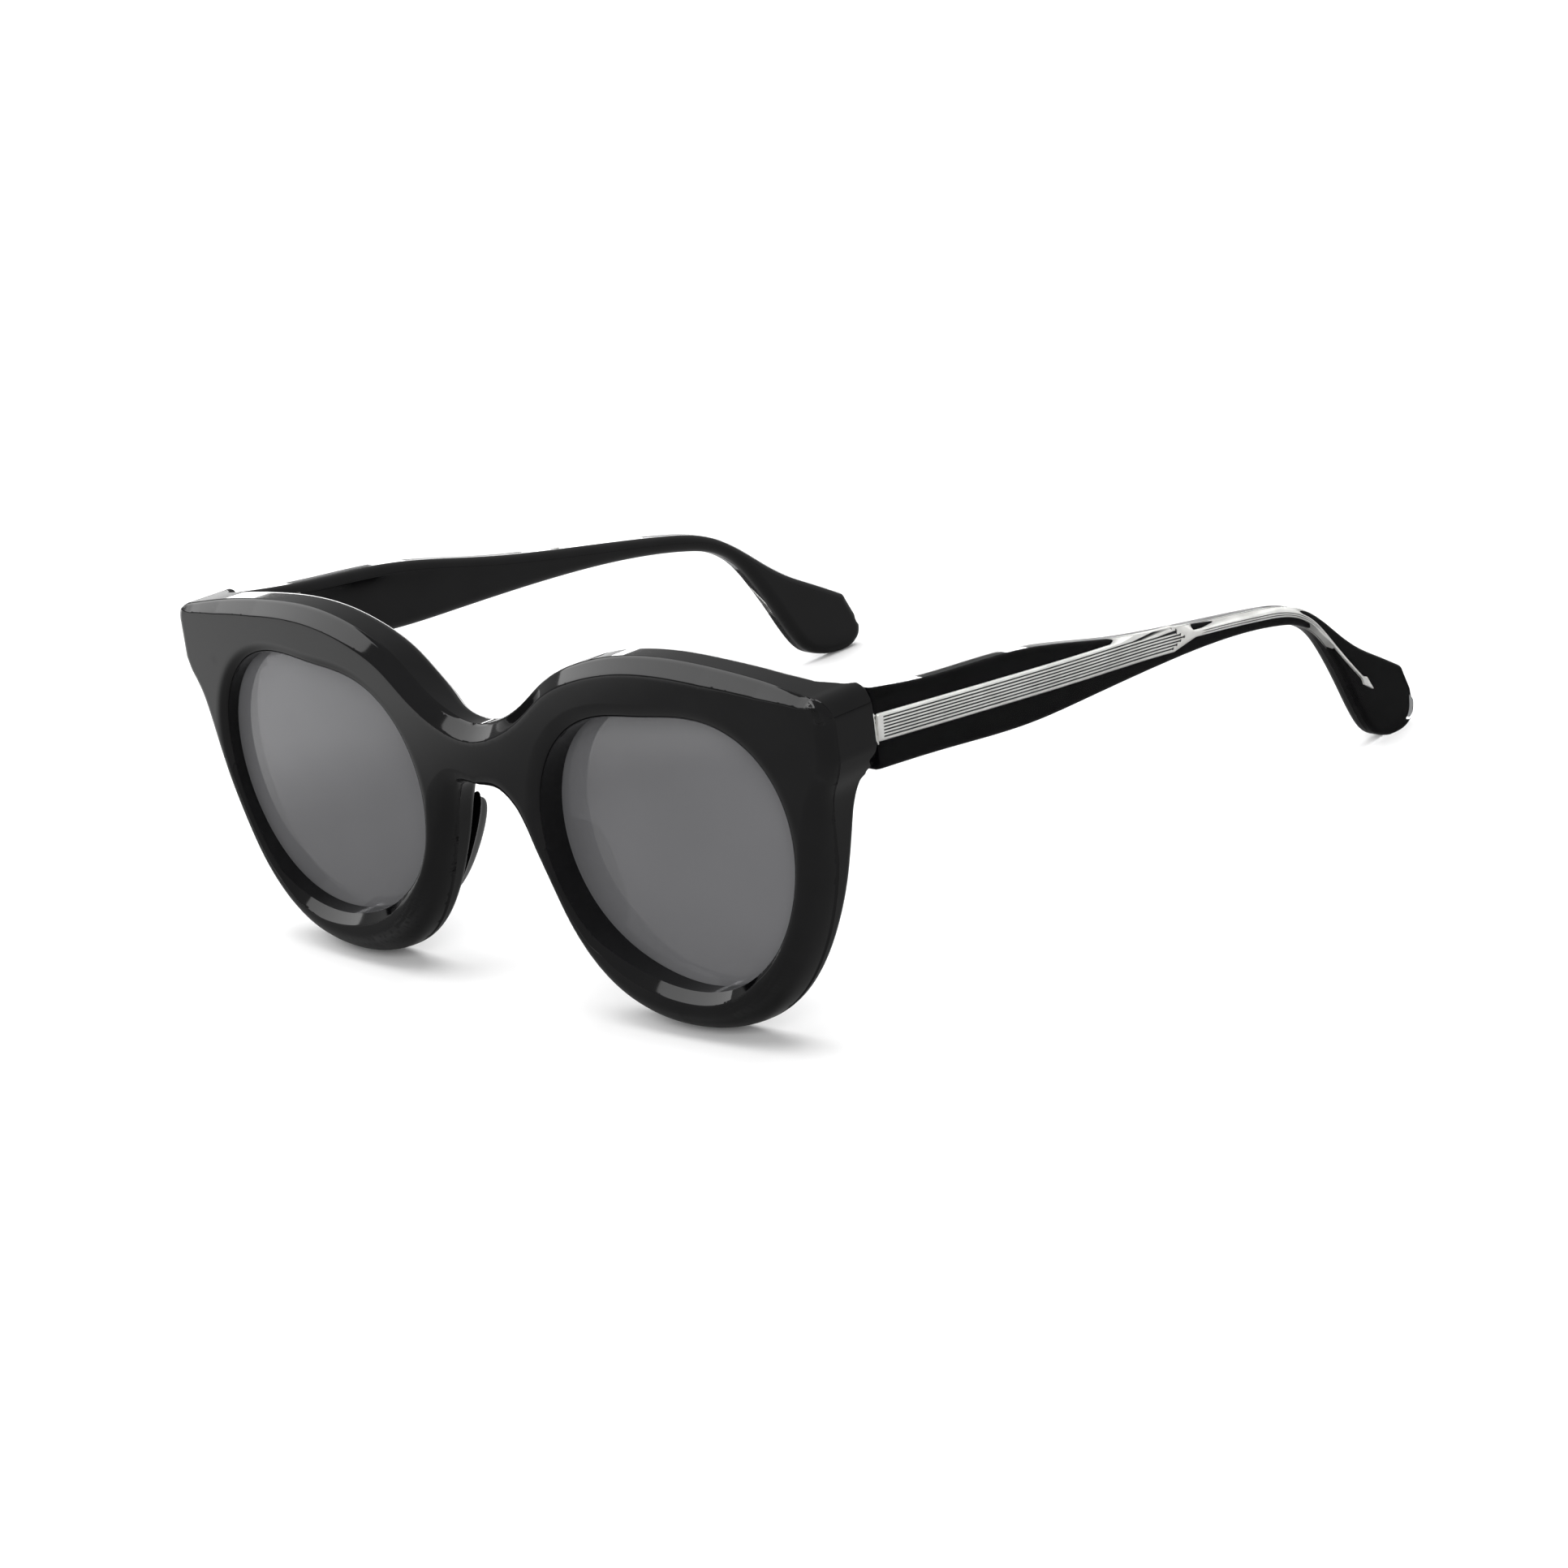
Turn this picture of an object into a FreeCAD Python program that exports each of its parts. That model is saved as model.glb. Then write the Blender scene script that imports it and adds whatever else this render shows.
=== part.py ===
import FreeCAD, Part
import math
import os

from FreeCAD import Placement, Rotation, Vector

# Cat eye sunglasses, millimetres. +Z is up, the front faces -Y and the temples reach back to +Y.
# They stand open on their two rims and two temple tips. +X is the wearer's left.
# The front is drawn in its own frame: x across, depth backwards from the face, and height up the face.
# That frame leans back by the pantoscopic lean, so every piece on the front shares one placement.

doc = FreeCAD.newDocument("cat_eye_sunglasses")
sheet = doc.addObject("Spreadsheet::Sheet", "sizes")

DIMENSIONS = {
    # front
    "front_half_width": 72.0,
    "front_thickness": 8.6,
    "face_radius": 665.0,
    "lean_angle": 3.05,
    "face_base_y": -75.5,
    "blank_height": 62.0,
    "through_all": 80.0,
    "across_all": 170.0,
    "bridge_top": 44.0,
    "bridge_underside": 34.6,
    "brow_peak": 58.5,
    "end_piece_top": 51.9,
    "end_piece_bottom": 46.0,
    "rim_bottom": 0.55,
    "brow_bevel": 2.0,
    # end pieces
    "end_block_inner_x": 67.6,
    "mitre_depth": 13.87,
    "mitre_gap": 0.08,
    "end_block_floor": 42.0,
    "end_block_corner": 2.2,
    # eye openings and lenses
    "eye_centre_x": 37.0,
    "eye_centre_up": 31.2,
    "eye_mean_radius": 23.1,
    "lens_overlap": 0.9,
    "groove_clearance": 0.05,
    "lens_thickness": 1.8,
    "lens_curve_radius": 200.0,
    "lens_apex_depth": 4.35,
    "eye_edge_radius": 1.2,
    # nose pads
    "pad_half_length": 9.5,
    "pad_half_thickness": 1.8,
    "pad_reach": 3.4,
    "pad_x": 15.4,
    "pad_up": 19.8,
    "pad_lean": 27.0,
    "pad_splay": -16.0,
    "pad_standoff": 1.32,
    # temples
    "temple_outer_x": 72.0,
    "temple_tip_inset": 7.6,
    "temple_length_y": 133.5,
    "temple_plan_radius": 1250.0,
    "clear_layer": 1.9,
    "black_layer": 2.3,
    "wire_thickness": 0.7,
    "wire_half_height": 2.0,
    "wire_tail_half": 0.65,
    # hinges
    "pin_x": 65.8,
    "pin_depth": 13.6,
    "pin_radius": 0.6,
    "pin_clearance": 0.03,
    "knuckle_radius": 1.6,
    "knuckle_height": 1.6,
    "knuckle_gap": 0.04,
    "hinge_centre_up": 47.6,
    "leaf_thickness": 1.2,
    "front_leaf_length": 5.0,
    "temple_leaf_length": 10.5,
    "leaf_from_pin": 1.2,
    "leaf_sunk": 0.3,
    "leaf_proud": 0.8,
    "stud_radius": 0.8,
    "front_stud_length": 1.9,
    "temple_stud_length": 0.9,
    "screw_head_radius": 1.25,
    "screw_head_height": 0.7,
    "screw_slot_width": 0.32,
    "screw_slot_depth": 0.35,
}

for row, (alias, value) in enumerate(DIMENSIONS.items(), start=1):
    sheet.set("A%d" % row, alias)
    sheet.set("B%d" % row, str(value))
    sheet.setAlias("B%d" % row, alias)
doc.recompute()


def size(alias):
    return float(sheet.get(alias))


LEAN = math.radians(size("lean_angle"))
FRONT_PLACEMENT = Placement(
    Vector(0, size("face_base_y"), 0), Rotation(Vector(1, 0, 0), -size("lean_angle")))


def front_to_side(depth, up):
    """Side view point (y, z) of a point given in the front's own frame."""
    y = size("face_base_y") + up * math.sin(LEAN) + depth * math.cos(LEAN)
    z = up * math.cos(LEAN) - depth * math.sin(LEAN)
    return y, z


# ---------------------------------------------------------------- drawing helpers

def origin_plane(body, role):
    for feature in body.Origin.OriginFeatures:
        if feature.Role == role:
            return feature
    raise ValueError(role)


def body_sketch(body, name, role):
    sketch = body.newObject("Sketcher::SketchObject", name)
    sketch.AttachmentSupport = (origin_plane(body, role), [""])
    sketch.MapMode = "FlatFace"
    return sketch


def free_sketch(name, rotation):
    """A sketch outside any body, turned to face along X or Y."""
    sketch = doc.addObject("Sketcher::SketchObject", name)
    sketch.Placement = Placement(Vector(0, 0, 0), rotation)
    return sketch


FACING_Y = Rotation(Vector(1, 0, 0), 90)      # sketch x is X, sketch y is Z
FACING_X = Rotation(Vector(1, 1, 1), 120)     # sketch x is Y, sketch y is Z


def flat(points):
    return [Vector(a, b, 0) for a, b in points]


def add_spline(sketch, points, closed=False):
    curve = Part.BSplineCurve()
    if closed:
        curve.interpolate(Points=flat(points), PeriodicFlag=True)
    else:
        curve.interpolate(flat(points))
    return sketch.addGeometry(curve, False)


def add_line(sketch, start, end):
    return sketch.addGeometry(Part.LineSegment(*flat([start, end])), False)


def add_lines(sketch, points):
    for start, end in zip(points[:-1], points[1:]):
        add_line(sketch, start, end)


def add_arc_through(sketch, start, middle, end):
    return sketch.addGeometry(Part.Arc(*flat([start, middle, end])), False)


def add_box(sketch, low, high):
    corners = [low, (high[0], low[1]), high, (low[0], high[1]), low]
    add_lines(sketch, corners)


def mirrored(points):
    return [(-a, b) for a, b in reversed(points)]


# ---------------------------------------------------------------- outlines of the front

def brow_points():
    """Right half of the top outline, from the bridge dip to the end piece corner."""
    peak = size("brow_peak")
    dip = size("bridge_top")
    rise = peak - dip
    return [(0.0, dip), (5.2, dip + 0.075 * rise), (10.8, dip + 0.28 * rise), (16.9, dip + 0.60 * rise),
            (24.3, dip + 0.83 * rise), (32.7, dip + 0.965 * rise), (41.0, peak), (50.0, peak - 0.5),
            (60.0, peak - 1.7), (68.6, peak - 3.25)]


def rim_points():
    """Right half of the lower outline, from the end piece round the rim to the bridge underside."""
    foot = size("rim_bottom")
    arch = size("bridge_underside")
    return [(size("front_half_width"), size("end_piece_bottom")), (71.1, 43.6), (69.4, 40.6), (68.3, 37.0),
            (66.8, 29.5), (62.9, 18.0), (57.0, 8.7), (49.0, 2.75), (39.3, foot), (29.5, 1.7), (21.0, 6.6),
            (14.2, 16.2), (10.0, 25.8), (7.4, 31.2), (4.4, arch - 0.5), (0.0, arch)]


def draw_front_outline(sketch):
    """Both halves meet on the centre line with level tangents, so the outline is one smooth loop."""
    top = brow_points()
    low = rim_points()
    corner = (size("front_half_width"), size("end_piece_top"))
    add_spline(sketch, mirrored(top)[:-1] + top)
    for sign in (1, -1):
        start = (sign * top[-1][0], top[-1][1])
        bulge = (sign * (corner[0] - 1.02), corner[1] + 2.38)
        end = (sign * corner[0], corner[1])
        add_arc_through(sketch, start, bulge, end)
        add_line(sketch, end, (sign * low[0][0], low[0][1]))
    add_spline(sketch, low[:-1] + mirrored(low))


def eye_radius(angle):
    """Radius of the eye opening about its centre: a circle drawn wide and lifted at the temple."""
    wide = 1.25 * math.cos(angle) + 1.96 * math.cos(2 * angle)
    tall = -2.0 * math.sin(angle) + 0.29 * math.sin(2 * angle)
    corners = 0.64 * math.sin(3 * angle) - 0.23 * math.cos(3 * angle)
    lift = 0.22 * math.sin(4 * angle) - 0.35 * math.cos(4 * angle)
    return size("eye_mean_radius") + wide + tall + corners + lift


def eye_points(growth, sign=1, count=16):
    points = []
    for step in range(count):
        angle = 2 * math.pi * step / count
        radius = eye_radius(angle) + growth
        x = size("eye_centre_x") + radius * math.cos(angle)
        points.append((sign * x, size("eye_centre_up") + radius * math.sin(angle)))
    return points


def face_depth(x):
    """How far the curved face has fallen back from the centre line at x."""
    radius = size("face_radius")
    return radius - math.sqrt(radius ** 2 - x ** 2)


# ---------------------------------------------------------------- front body

def column_of(sketch, name, direction, length_alias, symmetric=False):
    """The sketch's outline drawn out into a straight column."""
    column = doc.addObject("Part::Extrusion", name)
    column.Base = sketch
    column.Dir = direction
    column.setExpression("LengthFwd", "sizes." + length_alias)
    column.Solid = True
    column.Symmetric = symmetric
    return column


def common_of(name, first, second):
    both = doc.addObject("Part::Common", name)
    both.Base = first
    both.Tool = second
    return both


def make_front_slab():
    """Plan view of the front drawn up to the blank's height: curved face, flat end blocks behind."""
    body = doc.addObject("PartDesign::Body", "front_slab")
    half = size("front_half_width") + 2
    thick = size("front_thickness")
    inner = size("end_block_inner_x")
    mitre = size("mitre_depth")
    plan = body_sketch(body, "front_plan", "XY_Plane")
    add_arc_through(plan, (-half, face_depth(half)), (0, 0), (half, face_depth(half)))
    add_arc_through(plan, (-inner, face_depth(inner) + thick), (0, thick), (inner, face_depth(inner) + thick))
    for sign in (1, -1):
        add_lines(plan, [(sign * half, face_depth(half)), (sign * half, mitre), (sign * inner, mitre),
                         (sign * inner, face_depth(inner) + thick)])
    pad = body.newObject("PartDesign::Pad", "front_slab_pad")
    pad.Profile = plan
    pad.setExpression("Length", "sizes.blank_height")
    return body


def make_front_blank():
    outline = free_sketch("front_outline", FACING_Y)
    draw_front_outline(outline)
    column = column_of(outline, "outline_column", Vector(0, 1, 0), "through_all", symmetric=True)
    shaped = common_of("front_shaped", make_front_slab(), column)

    half = size("front_half_width")
    floor = size("end_block_floor")
    mitre = size("mitre_depth")
    back = face_depth(half) + size("front_thickness")
    corner = size("end_block_corner")
    step = free_sketch("end_block_side", FACING_X)
    add_lines(step, [(back, floor - 60), (mitre + 5, floor - 60), (mitre + 5, floor + corner),
                     (mitre, floor + corner)])
    inset = corner * (1 - math.sqrt(0.5))
    add_arc_through(step, (mitre, floor + corner), (mitre - inset, floor + inset), (mitre - corner, floor))
    add_lines(step, [(mitre - corner, floor), (back, floor), (back, floor - 60)])
    under = column_of(step, "under_end_blocks", Vector(1, 0, 0), "across_all", symmetric=True)
    stepped = cut_away("front_stepped", shaped, [under])
    doc.recompute()

    bevel = dress_edges("Part::Chamfer", "brow_bevel", stepped, size("brow_bevel"),
                        lambda edge, middle: on_face(middle) and middle.z > 43 and edge.Length > 60)
    columns = []
    for side, sign in (("left", 1), ("right", -1)):
        eye = free_sketch("eye_opening_" + side, FACING_Y)
        add_spline(eye, eye_points(0.0, sign), closed=True)
        columns.append(column_of(eye, "eye_column_" + side, Vector(0, 1, 0), "through_all", symmetric=True))
    opened = cut_away("front_opened", bevel, columns)
    doc.recompute()
    return dress_edges("Part::Fillet", "soft_eyes", opened, size("eye_edge_radius"),
                       lambda edge, middle: abs(edge.Length - EYE_EDGE) < 8 and middle.y < 5)


EYE_EDGE = 146.0     # rough length of one eye opening's edge


def on_face(point):
    return abs(point.y - face_depth(point.x)) < 0.05


def dress_edges(kind, name, base, amount, test):
    """Chamfer or round the edges of base whose middle passes the test."""
    edges = []
    for index, edge in enumerate(base.Shape.Edges, start=1):
        middle = edge.valueAt((edge.FirstParameter + edge.LastParameter) / 2)
        if test(edge, middle):
            edges.append((index, amount, amount))
    dressed = doc.addObject(kind, name)
    dressed.Base = base
    dressed.Edges = edges
    doc.recompute()
    return dressed


# ---------------------------------------------------------------- lenses

def make_lens_blank(name, growth_alias, extra):
    """A spherical shell cut to the eye's outline: the lens, or the room its groove leaves for it."""
    growth = size(growth_alias) + extra
    sketch = free_sketch(name + "_outline", FACING_Y)
    add_spline(sketch, eye_points(growth), closed=True)
    column = column_of(sketch, name + "_column", Vector(0, 1, 0), "through_all", symmetric=True)
    shell_parts = []
    for kind, sign in (("outer", 1), ("inner", 0)):
        ball = doc.addObject("Part::Sphere", name + "_" + kind)
        ball.setExpression(
            "Radius", "sizes.lens_curve_radius + %g - %d * (sizes.lens_thickness + %g)"
            % (extra, 1 - sign, 2 * extra))
        centre_y = size("lens_apex_depth") + size("lens_curve_radius")
        ball.Placement = Placement(Vector(size("eye_centre_x"), centre_y, size("eye_centre_up")), Rotation())
        shell_parts.append(ball)
    shell = doc.addObject("Part::Cut", name + "_shell")
    shell.Base, shell.Tool = shell_parts
    return common_of(name, column, shell)


def mirror_across(source, name):
    copy = doc.addObject("Part::Mirroring", name)
    copy.Source = source
    copy.Normal = Vector(1, 0, 0)
    copy.Base = Vector(0, 0, 0)
    return copy


def cut_away(name, base, tools):
    if len(tools) > 1:
        tool = doc.addObject("Part::MultiFuse", name + "_tools")
        tool.Shapes = tools
    else:
        tool = tools[0]
    cut = doc.addObject("Part::Cut", name)
    cut.Base = base
    cut.Tool = tool
    return cut


# ---------------------------------------------------------------- nose pads

def make_nose_pad():
    """A rounded fin glued to the back of the nasal rim, lofted through three shrinking ellipses."""
    body = doc.addObject("PartDesign::Body", "pad_on_rim")
    reach = size("pad_reach")
    # share of the reach, share of the length, share of the thickness
    sections = [(0.0, 1.0, 1.0), (0.55, 0.92, 0.9), (1.0, 0.58, 0.45)]
    rings = []
    for number, (along, long_share, thick_share) in enumerate(sections):
        ring = body_sketch(body, "pad_section_%d" % number, "XY_Plane")
        ring.AttachmentOffset = Placement(Vector(0, 0, along * reach), Rotation())
        oval = Part.Ellipse(Vector(0, 0, 0), long_share * size("pad_half_length"),
                            thick_share * size("pad_half_thickness"))
        ring.addGeometry(oval, False)
        rings.append(ring)
    loft = body.newObject("PartDesign::AdditiveLoft", "pad_loft")
    loft.Profile = rings[0]
    loft.Sections = rings[1:]
    back = size("front_thickness") + face_depth(size("pad_x"))
    along_rim = Vector(-math.sin(math.radians(size("pad_lean"))), 0, math.cos(math.radians(size("pad_lean"))))
    outward = Vector(-math.sin(math.radians(size("pad_splay"))), math.cos(math.radians(size("pad_splay"))), 0)
    across = outward.cross(along_rim)
    turn = Rotation(along_rim, across, outward, "ZXY")
    body.Placement = Placement(Vector(size("pad_x"), back + size("pad_standoff"), size("pad_up")), turn)
    return body


# ---------------------------------------------------------------- temples

def plan_centre():
    """Centre of the arc, seen from above, that the temple's outer face follows."""
    start = front_to_side(size("mitre_depth"), size("hinge_centre_up"))[0]
    root = Vector(size("temple_outer_x"), start, 0)
    tip = Vector(size("temple_outer_x") - size("temple_tip_inset"), start + size("temple_length_y"), 0)
    middle = (root + tip) * 0.5
    along = (tip - root).normalize()
    reach = math.sqrt(size("temple_plan_radius") ** 2 - (tip - root).Length ** 2 / 4)
    return middle + Vector(-along.y, along.x, 0) * reach


def temple_top_points():
    """Upper edge of the temple in side view, from the mitre to the tip's back corner."""
    root = front_to_side(size("mitre_depth") + size("mitre_gap"), 54.3)
    return [root, (-46.0, 50.9), (-26.0, 47.9), (-18.0, 46.0), (-6.0, 42.6), (14.0, 37.9), (34.0, 33.5),
            (41.0, 31.5), (45.5, 29.4), (50.0, 26.2), (55.0, 21.8), (60.0, 17.9), (66.0, 14.2), (71.4, 10.9)]


def temple_low_points():
    """Lower edge, from the tip's heel back to the mitre."""
    root = front_to_side(size("mitre_depth") + size("mitre_gap"), 42.3)
    return [(66.5, 0.35), (62.2, 2.2), (59.2, 5.9), (55.8, 12.4), (52.0, 19.2), (48.0, 24.4), (43.5, 27.4),
            (38.0, 29.3), (24.0, 32.2), (4.0, 34.4), (-14.0, 35.6), (-26.0, 36.5), (-46.0, 39.6), root]


def draw_temple_outline(sketch):
    top = temple_top_points()
    low = temple_low_points()
    shoulder = (72.4, 9.6)
    heel = (74.75, 4.2)
    add_spline(sketch, top)
    add_arc_through(sketch, top[-1], (72.05, 10.35), shoulder)
    add_line(sketch, shoulder, heel)
    add_spline(sketch, [heel, (74.3, 1.9), (72.3, 0.3), (69.3, 0.0), low[0]])
    add_spline(sketch, low)
    add_line(sketch, low[-1], top[0])


def wire_centre_points():
    """Centre line of the wire's narrow tail in side view."""
    return [(15.5, 35.75), (24.0, 34.2), (34.0, 32.1), (40.0, 30.6), (44.0, 29.0), (47.5, 26.8), (51.0, 23.4),
            (56.0, 17.6), (62.6, 10.6)]


def offset_points(points, distance):
    shifted = []
    for index, (y, z) in enumerate(points):
        before = points[max(index - 1, 0)]
        after = points[min(index + 1, len(points) - 1)]
        run = math.hypot(after[0] - before[0], after[1] - before[1])
        shifted.append((y - distance * (after[1] - before[1]) / run, z + distance * (after[0] - before[0]) / run))
    return shifted


def draw_wire_outline(sketch):
    """A broad engraved strip, a pointed shoulder, a thin tail round the ear bend and a small arrow head."""
    half = size("wire_half_height")
    tail = size("wire_tail_half")
    centre = wire_centre_points()
    upper = offset_points(centre, tail)
    lower = offset_points(centre, -tail)
    start = front_to_side(size("mitre_depth") + 1.0, 0.0)[0] + 2.6
    root = (start, 47.2)
    shoulder = (10.4, 36.75)
    add_lines(sketch, [(root[0], root[1] - half), (root[0], root[1] + half), (shoulder[0], shoulder[1] + half),
                       upper[0]])
    add_spline(sketch, upper)
    end = centre[-1]
    barb = 1.15
    add_lines(sketch, [upper[-1], (end[0] + 0.9, end[1] + barb), (end[0] + 2.2, end[1] - 2.3),
                       (end[0] - 0.9, end[1] - 0.9), lower[-1]])
    add_spline(sketch, list(reversed(lower)))
    add_lines(sketch, [lower[0], (shoulder[0], shoulder[1] - half), (root[0], root[1] - half)])


def make_temple_layer(name, outer_depth, inner_depth, draw):
    """One lamination: a band that follows the temple's plan arc, cut to a side outline."""
    body = doc.addObject("PartDesign::Body", name)
    centre = plan_centre()
    start = front_to_side(0, 0)[0] + 5
    end = start + size("temple_length_y") + 25
    plan = body_sketch(body, name + "_plan", "XY_Plane")
    corners = []
    for depth in (outer_depth, inner_depth):
        radius = size("temple_plan_radius") - depth
        arc_points = []
        for y in (start, (start + end) / 2, end):
            arc_points.append((centre.x + math.sqrt(radius ** 2 - (y - centre.y) ** 2), y))
        add_arc_through(plan, *arc_points)
        corners.append(arc_points)
    add_line(plan, corners[0][0], corners[1][0])
    add_line(plan, corners[0][2], corners[1][2])
    pad = body.newObject("PartDesign::Pad", name + "_band")
    pad.Profile = plan
    pad.setExpression("Length", "sizes.blank_height")
    side = body_sketch(body, name + "_side", "YZ_Plane")
    add_box(side, (start - 20, -20), (end + 20, size("blank_height") + 20))
    draw(side)
    trim = body.newObject("PartDesign::Pocket", name + "_trim")
    trim.Profile = side
    trim.Type = "ThroughAll"
    trim.SideType = "Symmetric"
    return body


# ---------------------------------------------------------------- hinges

def knuckle_levels(indices):
    """Lowest height of each knuckle: five share the pin, numbered from the bottom."""
    pitch = size("knuckle_height")
    base = size("hinge_centre_up") - 2.5 * pitch
    return [base + index * pitch + size("knuckle_gap") / 2 for index in indices]


def make_hinge_leaf(name, indices, plate_low, plate_high, web_low, web_high, studs, stud_length, stud_turn):
    """A plate with its knuckles, their webs and the studs that anchor it in the acetate."""
    pieces = []
    plate = doc.addObject("Part::Box", name + "_plate")
    plate.Length, plate.Width, plate.Height = [b - a for a, b in zip(plate_low, plate_high)]
    plate.Placement = Placement(Vector(*plate_low), Rotation())
    pieces.append(plate)
    for number, level in enumerate(knuckle_levels(indices), start=1):
        knuckle = doc.addObject("Part::Cylinder", "%s_knuckle_%d" % (name, number))
        knuckle.setExpression("Radius", "sizes.knuckle_radius")
        knuckle.setExpression("Height", "sizes.knuckle_height - sizes.knuckle_gap")
        knuckle.Placement = Placement(Vector(size("pin_x"), size("pin_depth"), level), Rotation())
        web = doc.addObject("Part::Box", "%s_web_%d" % (name, number))
        web.Length = web_high[0] - web_low[0]
        web.Width = web_high[1] - web_low[1]
        web.setExpression("Height", "sizes.knuckle_height - sizes.knuckle_gap")
        web.Placement = Placement(Vector(web_low[0], web_low[1], level), Rotation())
        pieces += [knuckle, web]
    for number, stud_foot in enumerate(studs, start=1):
        stud = doc.addObject("Part::Cylinder", "%s_stud_%d" % (name, number))
        stud.setExpression("Radius", "sizes.stud_radius")
        stud.setExpression("Height", "sizes." + stud_length)
        stud.Placement = Placement(Vector(*stud_foot), stud_turn)
        pieces.append(stud)
    whole = doc.addObject("Part::MultiFuse", name + "_whole")
    whole.Shapes = pieces
    bore = doc.addObject("Part::Cylinder", name + "_bore")
    bore.setExpression("Radius", "sizes.pin_radius + sizes.pin_clearance")
    bore.setExpression("Height", "sizes.blank_height")
    bore.Placement = Placement(Vector(size("pin_x"), size("pin_depth"), 0), Rotation())
    return cut_away(name, whole, [bore])


def make_front_leaf():
    """The leaf let into the back of the front: a plate beside the pin and three webs that reach out to it."""
    back = size("front_thickness") + face_depth(60)
    seat = back - size("leaf_sunk")
    mid = size("hinge_centre_up")
    pin_x = size("pin_x")
    edge_x = pin_x - size("leaf_from_pin")
    half_stack = 2.5 * size("knuckle_height")
    plate_low = (edge_x - size("front_leaf_length"), seat, mid - half_stack)
    plate_high = (edge_x, seat + size("leaf_thickness"), mid + half_stack)
    web_low = (edge_x - 0.4, seat)
    web_high = (pin_x - 0.1, size("pin_depth"))
    studs = [(plate_low[0] + offset, back, mid) for offset in (1.3, 3.7)]
    return make_hinge_leaf("front_leaf", (0, 2, 4), plate_low, plate_high, web_low, web_high, studs,
                           "front_stud_length", Rotation(Vector(1, 0, 0), 90))


def make_temple_leaf():
    """The leaf let into the inside of the temple: two webs reach forward from its plate to the pin."""
    inner_x = size("temple_outer_x") - size("clear_layer") - size("black_layer")
    proud_x = inner_x - size("leaf_proud")
    mid = size("hinge_centre_up")
    pin_depth = size("pin_depth")
    plate_start = pin_depth + 1.9
    plate_low = (proud_x, plate_start, mid - 2.7 * size("knuckle_height"))
    plate_high = (proud_x + size("leaf_thickness"), plate_start + size("temple_leaf_length"),
                  mid + 2.3 * size("knuckle_height"))
    web_low = (size("pin_x") + 0.35, pin_depth)
    web_high = (proud_x + 0.35, plate_start + 0.5)
    studs = [(inner_x, plate_start + offset, mid - 0.5) for offset in (3.5, 7.8)]
    return make_hinge_leaf("temple_leaf", (1, 3), plate_low, plate_high, web_low, web_high, studs,
                           "temple_stud_length", Rotation(Vector(0, 1, 0), 90))


def make_hinge_screw():
    """Turned screw: a slotted cheese head above the top knuckle and a plain shank through all five."""
    body = doc.addObject("PartDesign::Body", "screw_blank")
    sketch = body_sketch(body, "screw_profile", "XZ_Plane")
    shank = size("pin_radius")
    head = size("screw_head_radius")
    under_head = size("hinge_centre_up") + 2.5 * size("knuckle_height") + 0.05
    crown = under_head + size("screw_head_height")
    foot = size("hinge_centre_up") - 2.5 * size("knuckle_height") - 0.3
    edge_break = 0.2
    add_lines(sketch, [(0, foot), (shank, foot), (shank, under_head), (head, under_head),
                       (head, crown - edge_break), (head - edge_break, crown), (0, crown), (0, foot)])
    turn = body.newObject("PartDesign::Revolution", "screw_turned")
    turn.Profile = sketch
    turn.ReferenceAxis = (origin_plane(body, "Z_Axis"), [""])
    turn.Angle = 360
    slot_sketch = body_sketch(body, "screw_slot_outline", "XZ_Plane")
    half_slot = size("screw_slot_width") / 2
    add_box(slot_sketch, (-half_slot, crown - size("screw_slot_depth")), (half_slot, crown + 2))
    slot = body.newObject("PartDesign::Pocket", "screw_slot")
    slot.Profile = slot_sketch
    slot.Type = "ThroughAll"
    slot.SideType = "Symmetric"
    body.Placement = Placement(Vector(size("pin_x"), size("pin_depth"), 0), Rotation())
    return body


# ---------------------------------------------------------------- assembly

def on_front(obj):
    """Put a piece drawn in the front's frame into its leaning place."""
    obj.Placement = FRONT_PLACEMENT.multiply(obj.Placement)
    return obj


def label_pair(left, name):
    """Label the left piece and mirror it to make the right one."""
    left.Label = name + "_left"
    right = mirror_across(left, name + "_right")
    right.Label = name + "_right"
    return [left, right]


def build_front():
    """The front with its lenses, pads, hinge leaves and screws."""
    blank = on_front(make_front_blank())
    groove = on_front(make_lens_blank("lens_groove", "lens_overlap", size("groove_clearance")))
    grooves = [groove, mirror_across(groove, "lens_groove_right")]
    lenses = label_pair(on_front(make_lens_blank("lens_blank", "lens_overlap", 0.0)), "lens")
    leaves = label_pair(on_front(make_front_leaf()), "front_hinge")
    pads = label_pair(on_front(make_nose_pad()), "nose_pad")
    screws = label_pair(on_front(make_hinge_screw()), "hinge_screw")
    front = cut_away("front_cut", blank, grooves + leaves)
    front.Label = "front_frame"
    return [front] + lenses + pads + leaves + screws


def build_temples():
    """Both temples: a clear layer over a black one, the core wire between them, and a hinge leaf."""
    clear = size("clear_layer")
    black = size("black_layer")
    wire = make_temple_layer("wire_strip", clear - size("wire_thickness"), clear, draw_wire_outline)
    outer_blank = make_temple_layer("clear_blank", 0.0, clear, draw_temple_outline)
    inner_blank = make_temple_layer("black_blank", clear, clear + black, draw_temple_outline)
    leaf = on_front(make_temple_leaf())
    outer = cut_away("clear_cut", outer_blank, [wire])
    inner = cut_away("black_cut", inner_blank, [leaf])
    doc.recompute()
    nodes = []
    for piece, name in ((outer, "temple_outer"), (inner, "temple_inner"), (wire, "core_wire"),
                        (leaf, "temple_hinge")):
        nodes += label_pair(piece, name)
    return nodes


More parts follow.
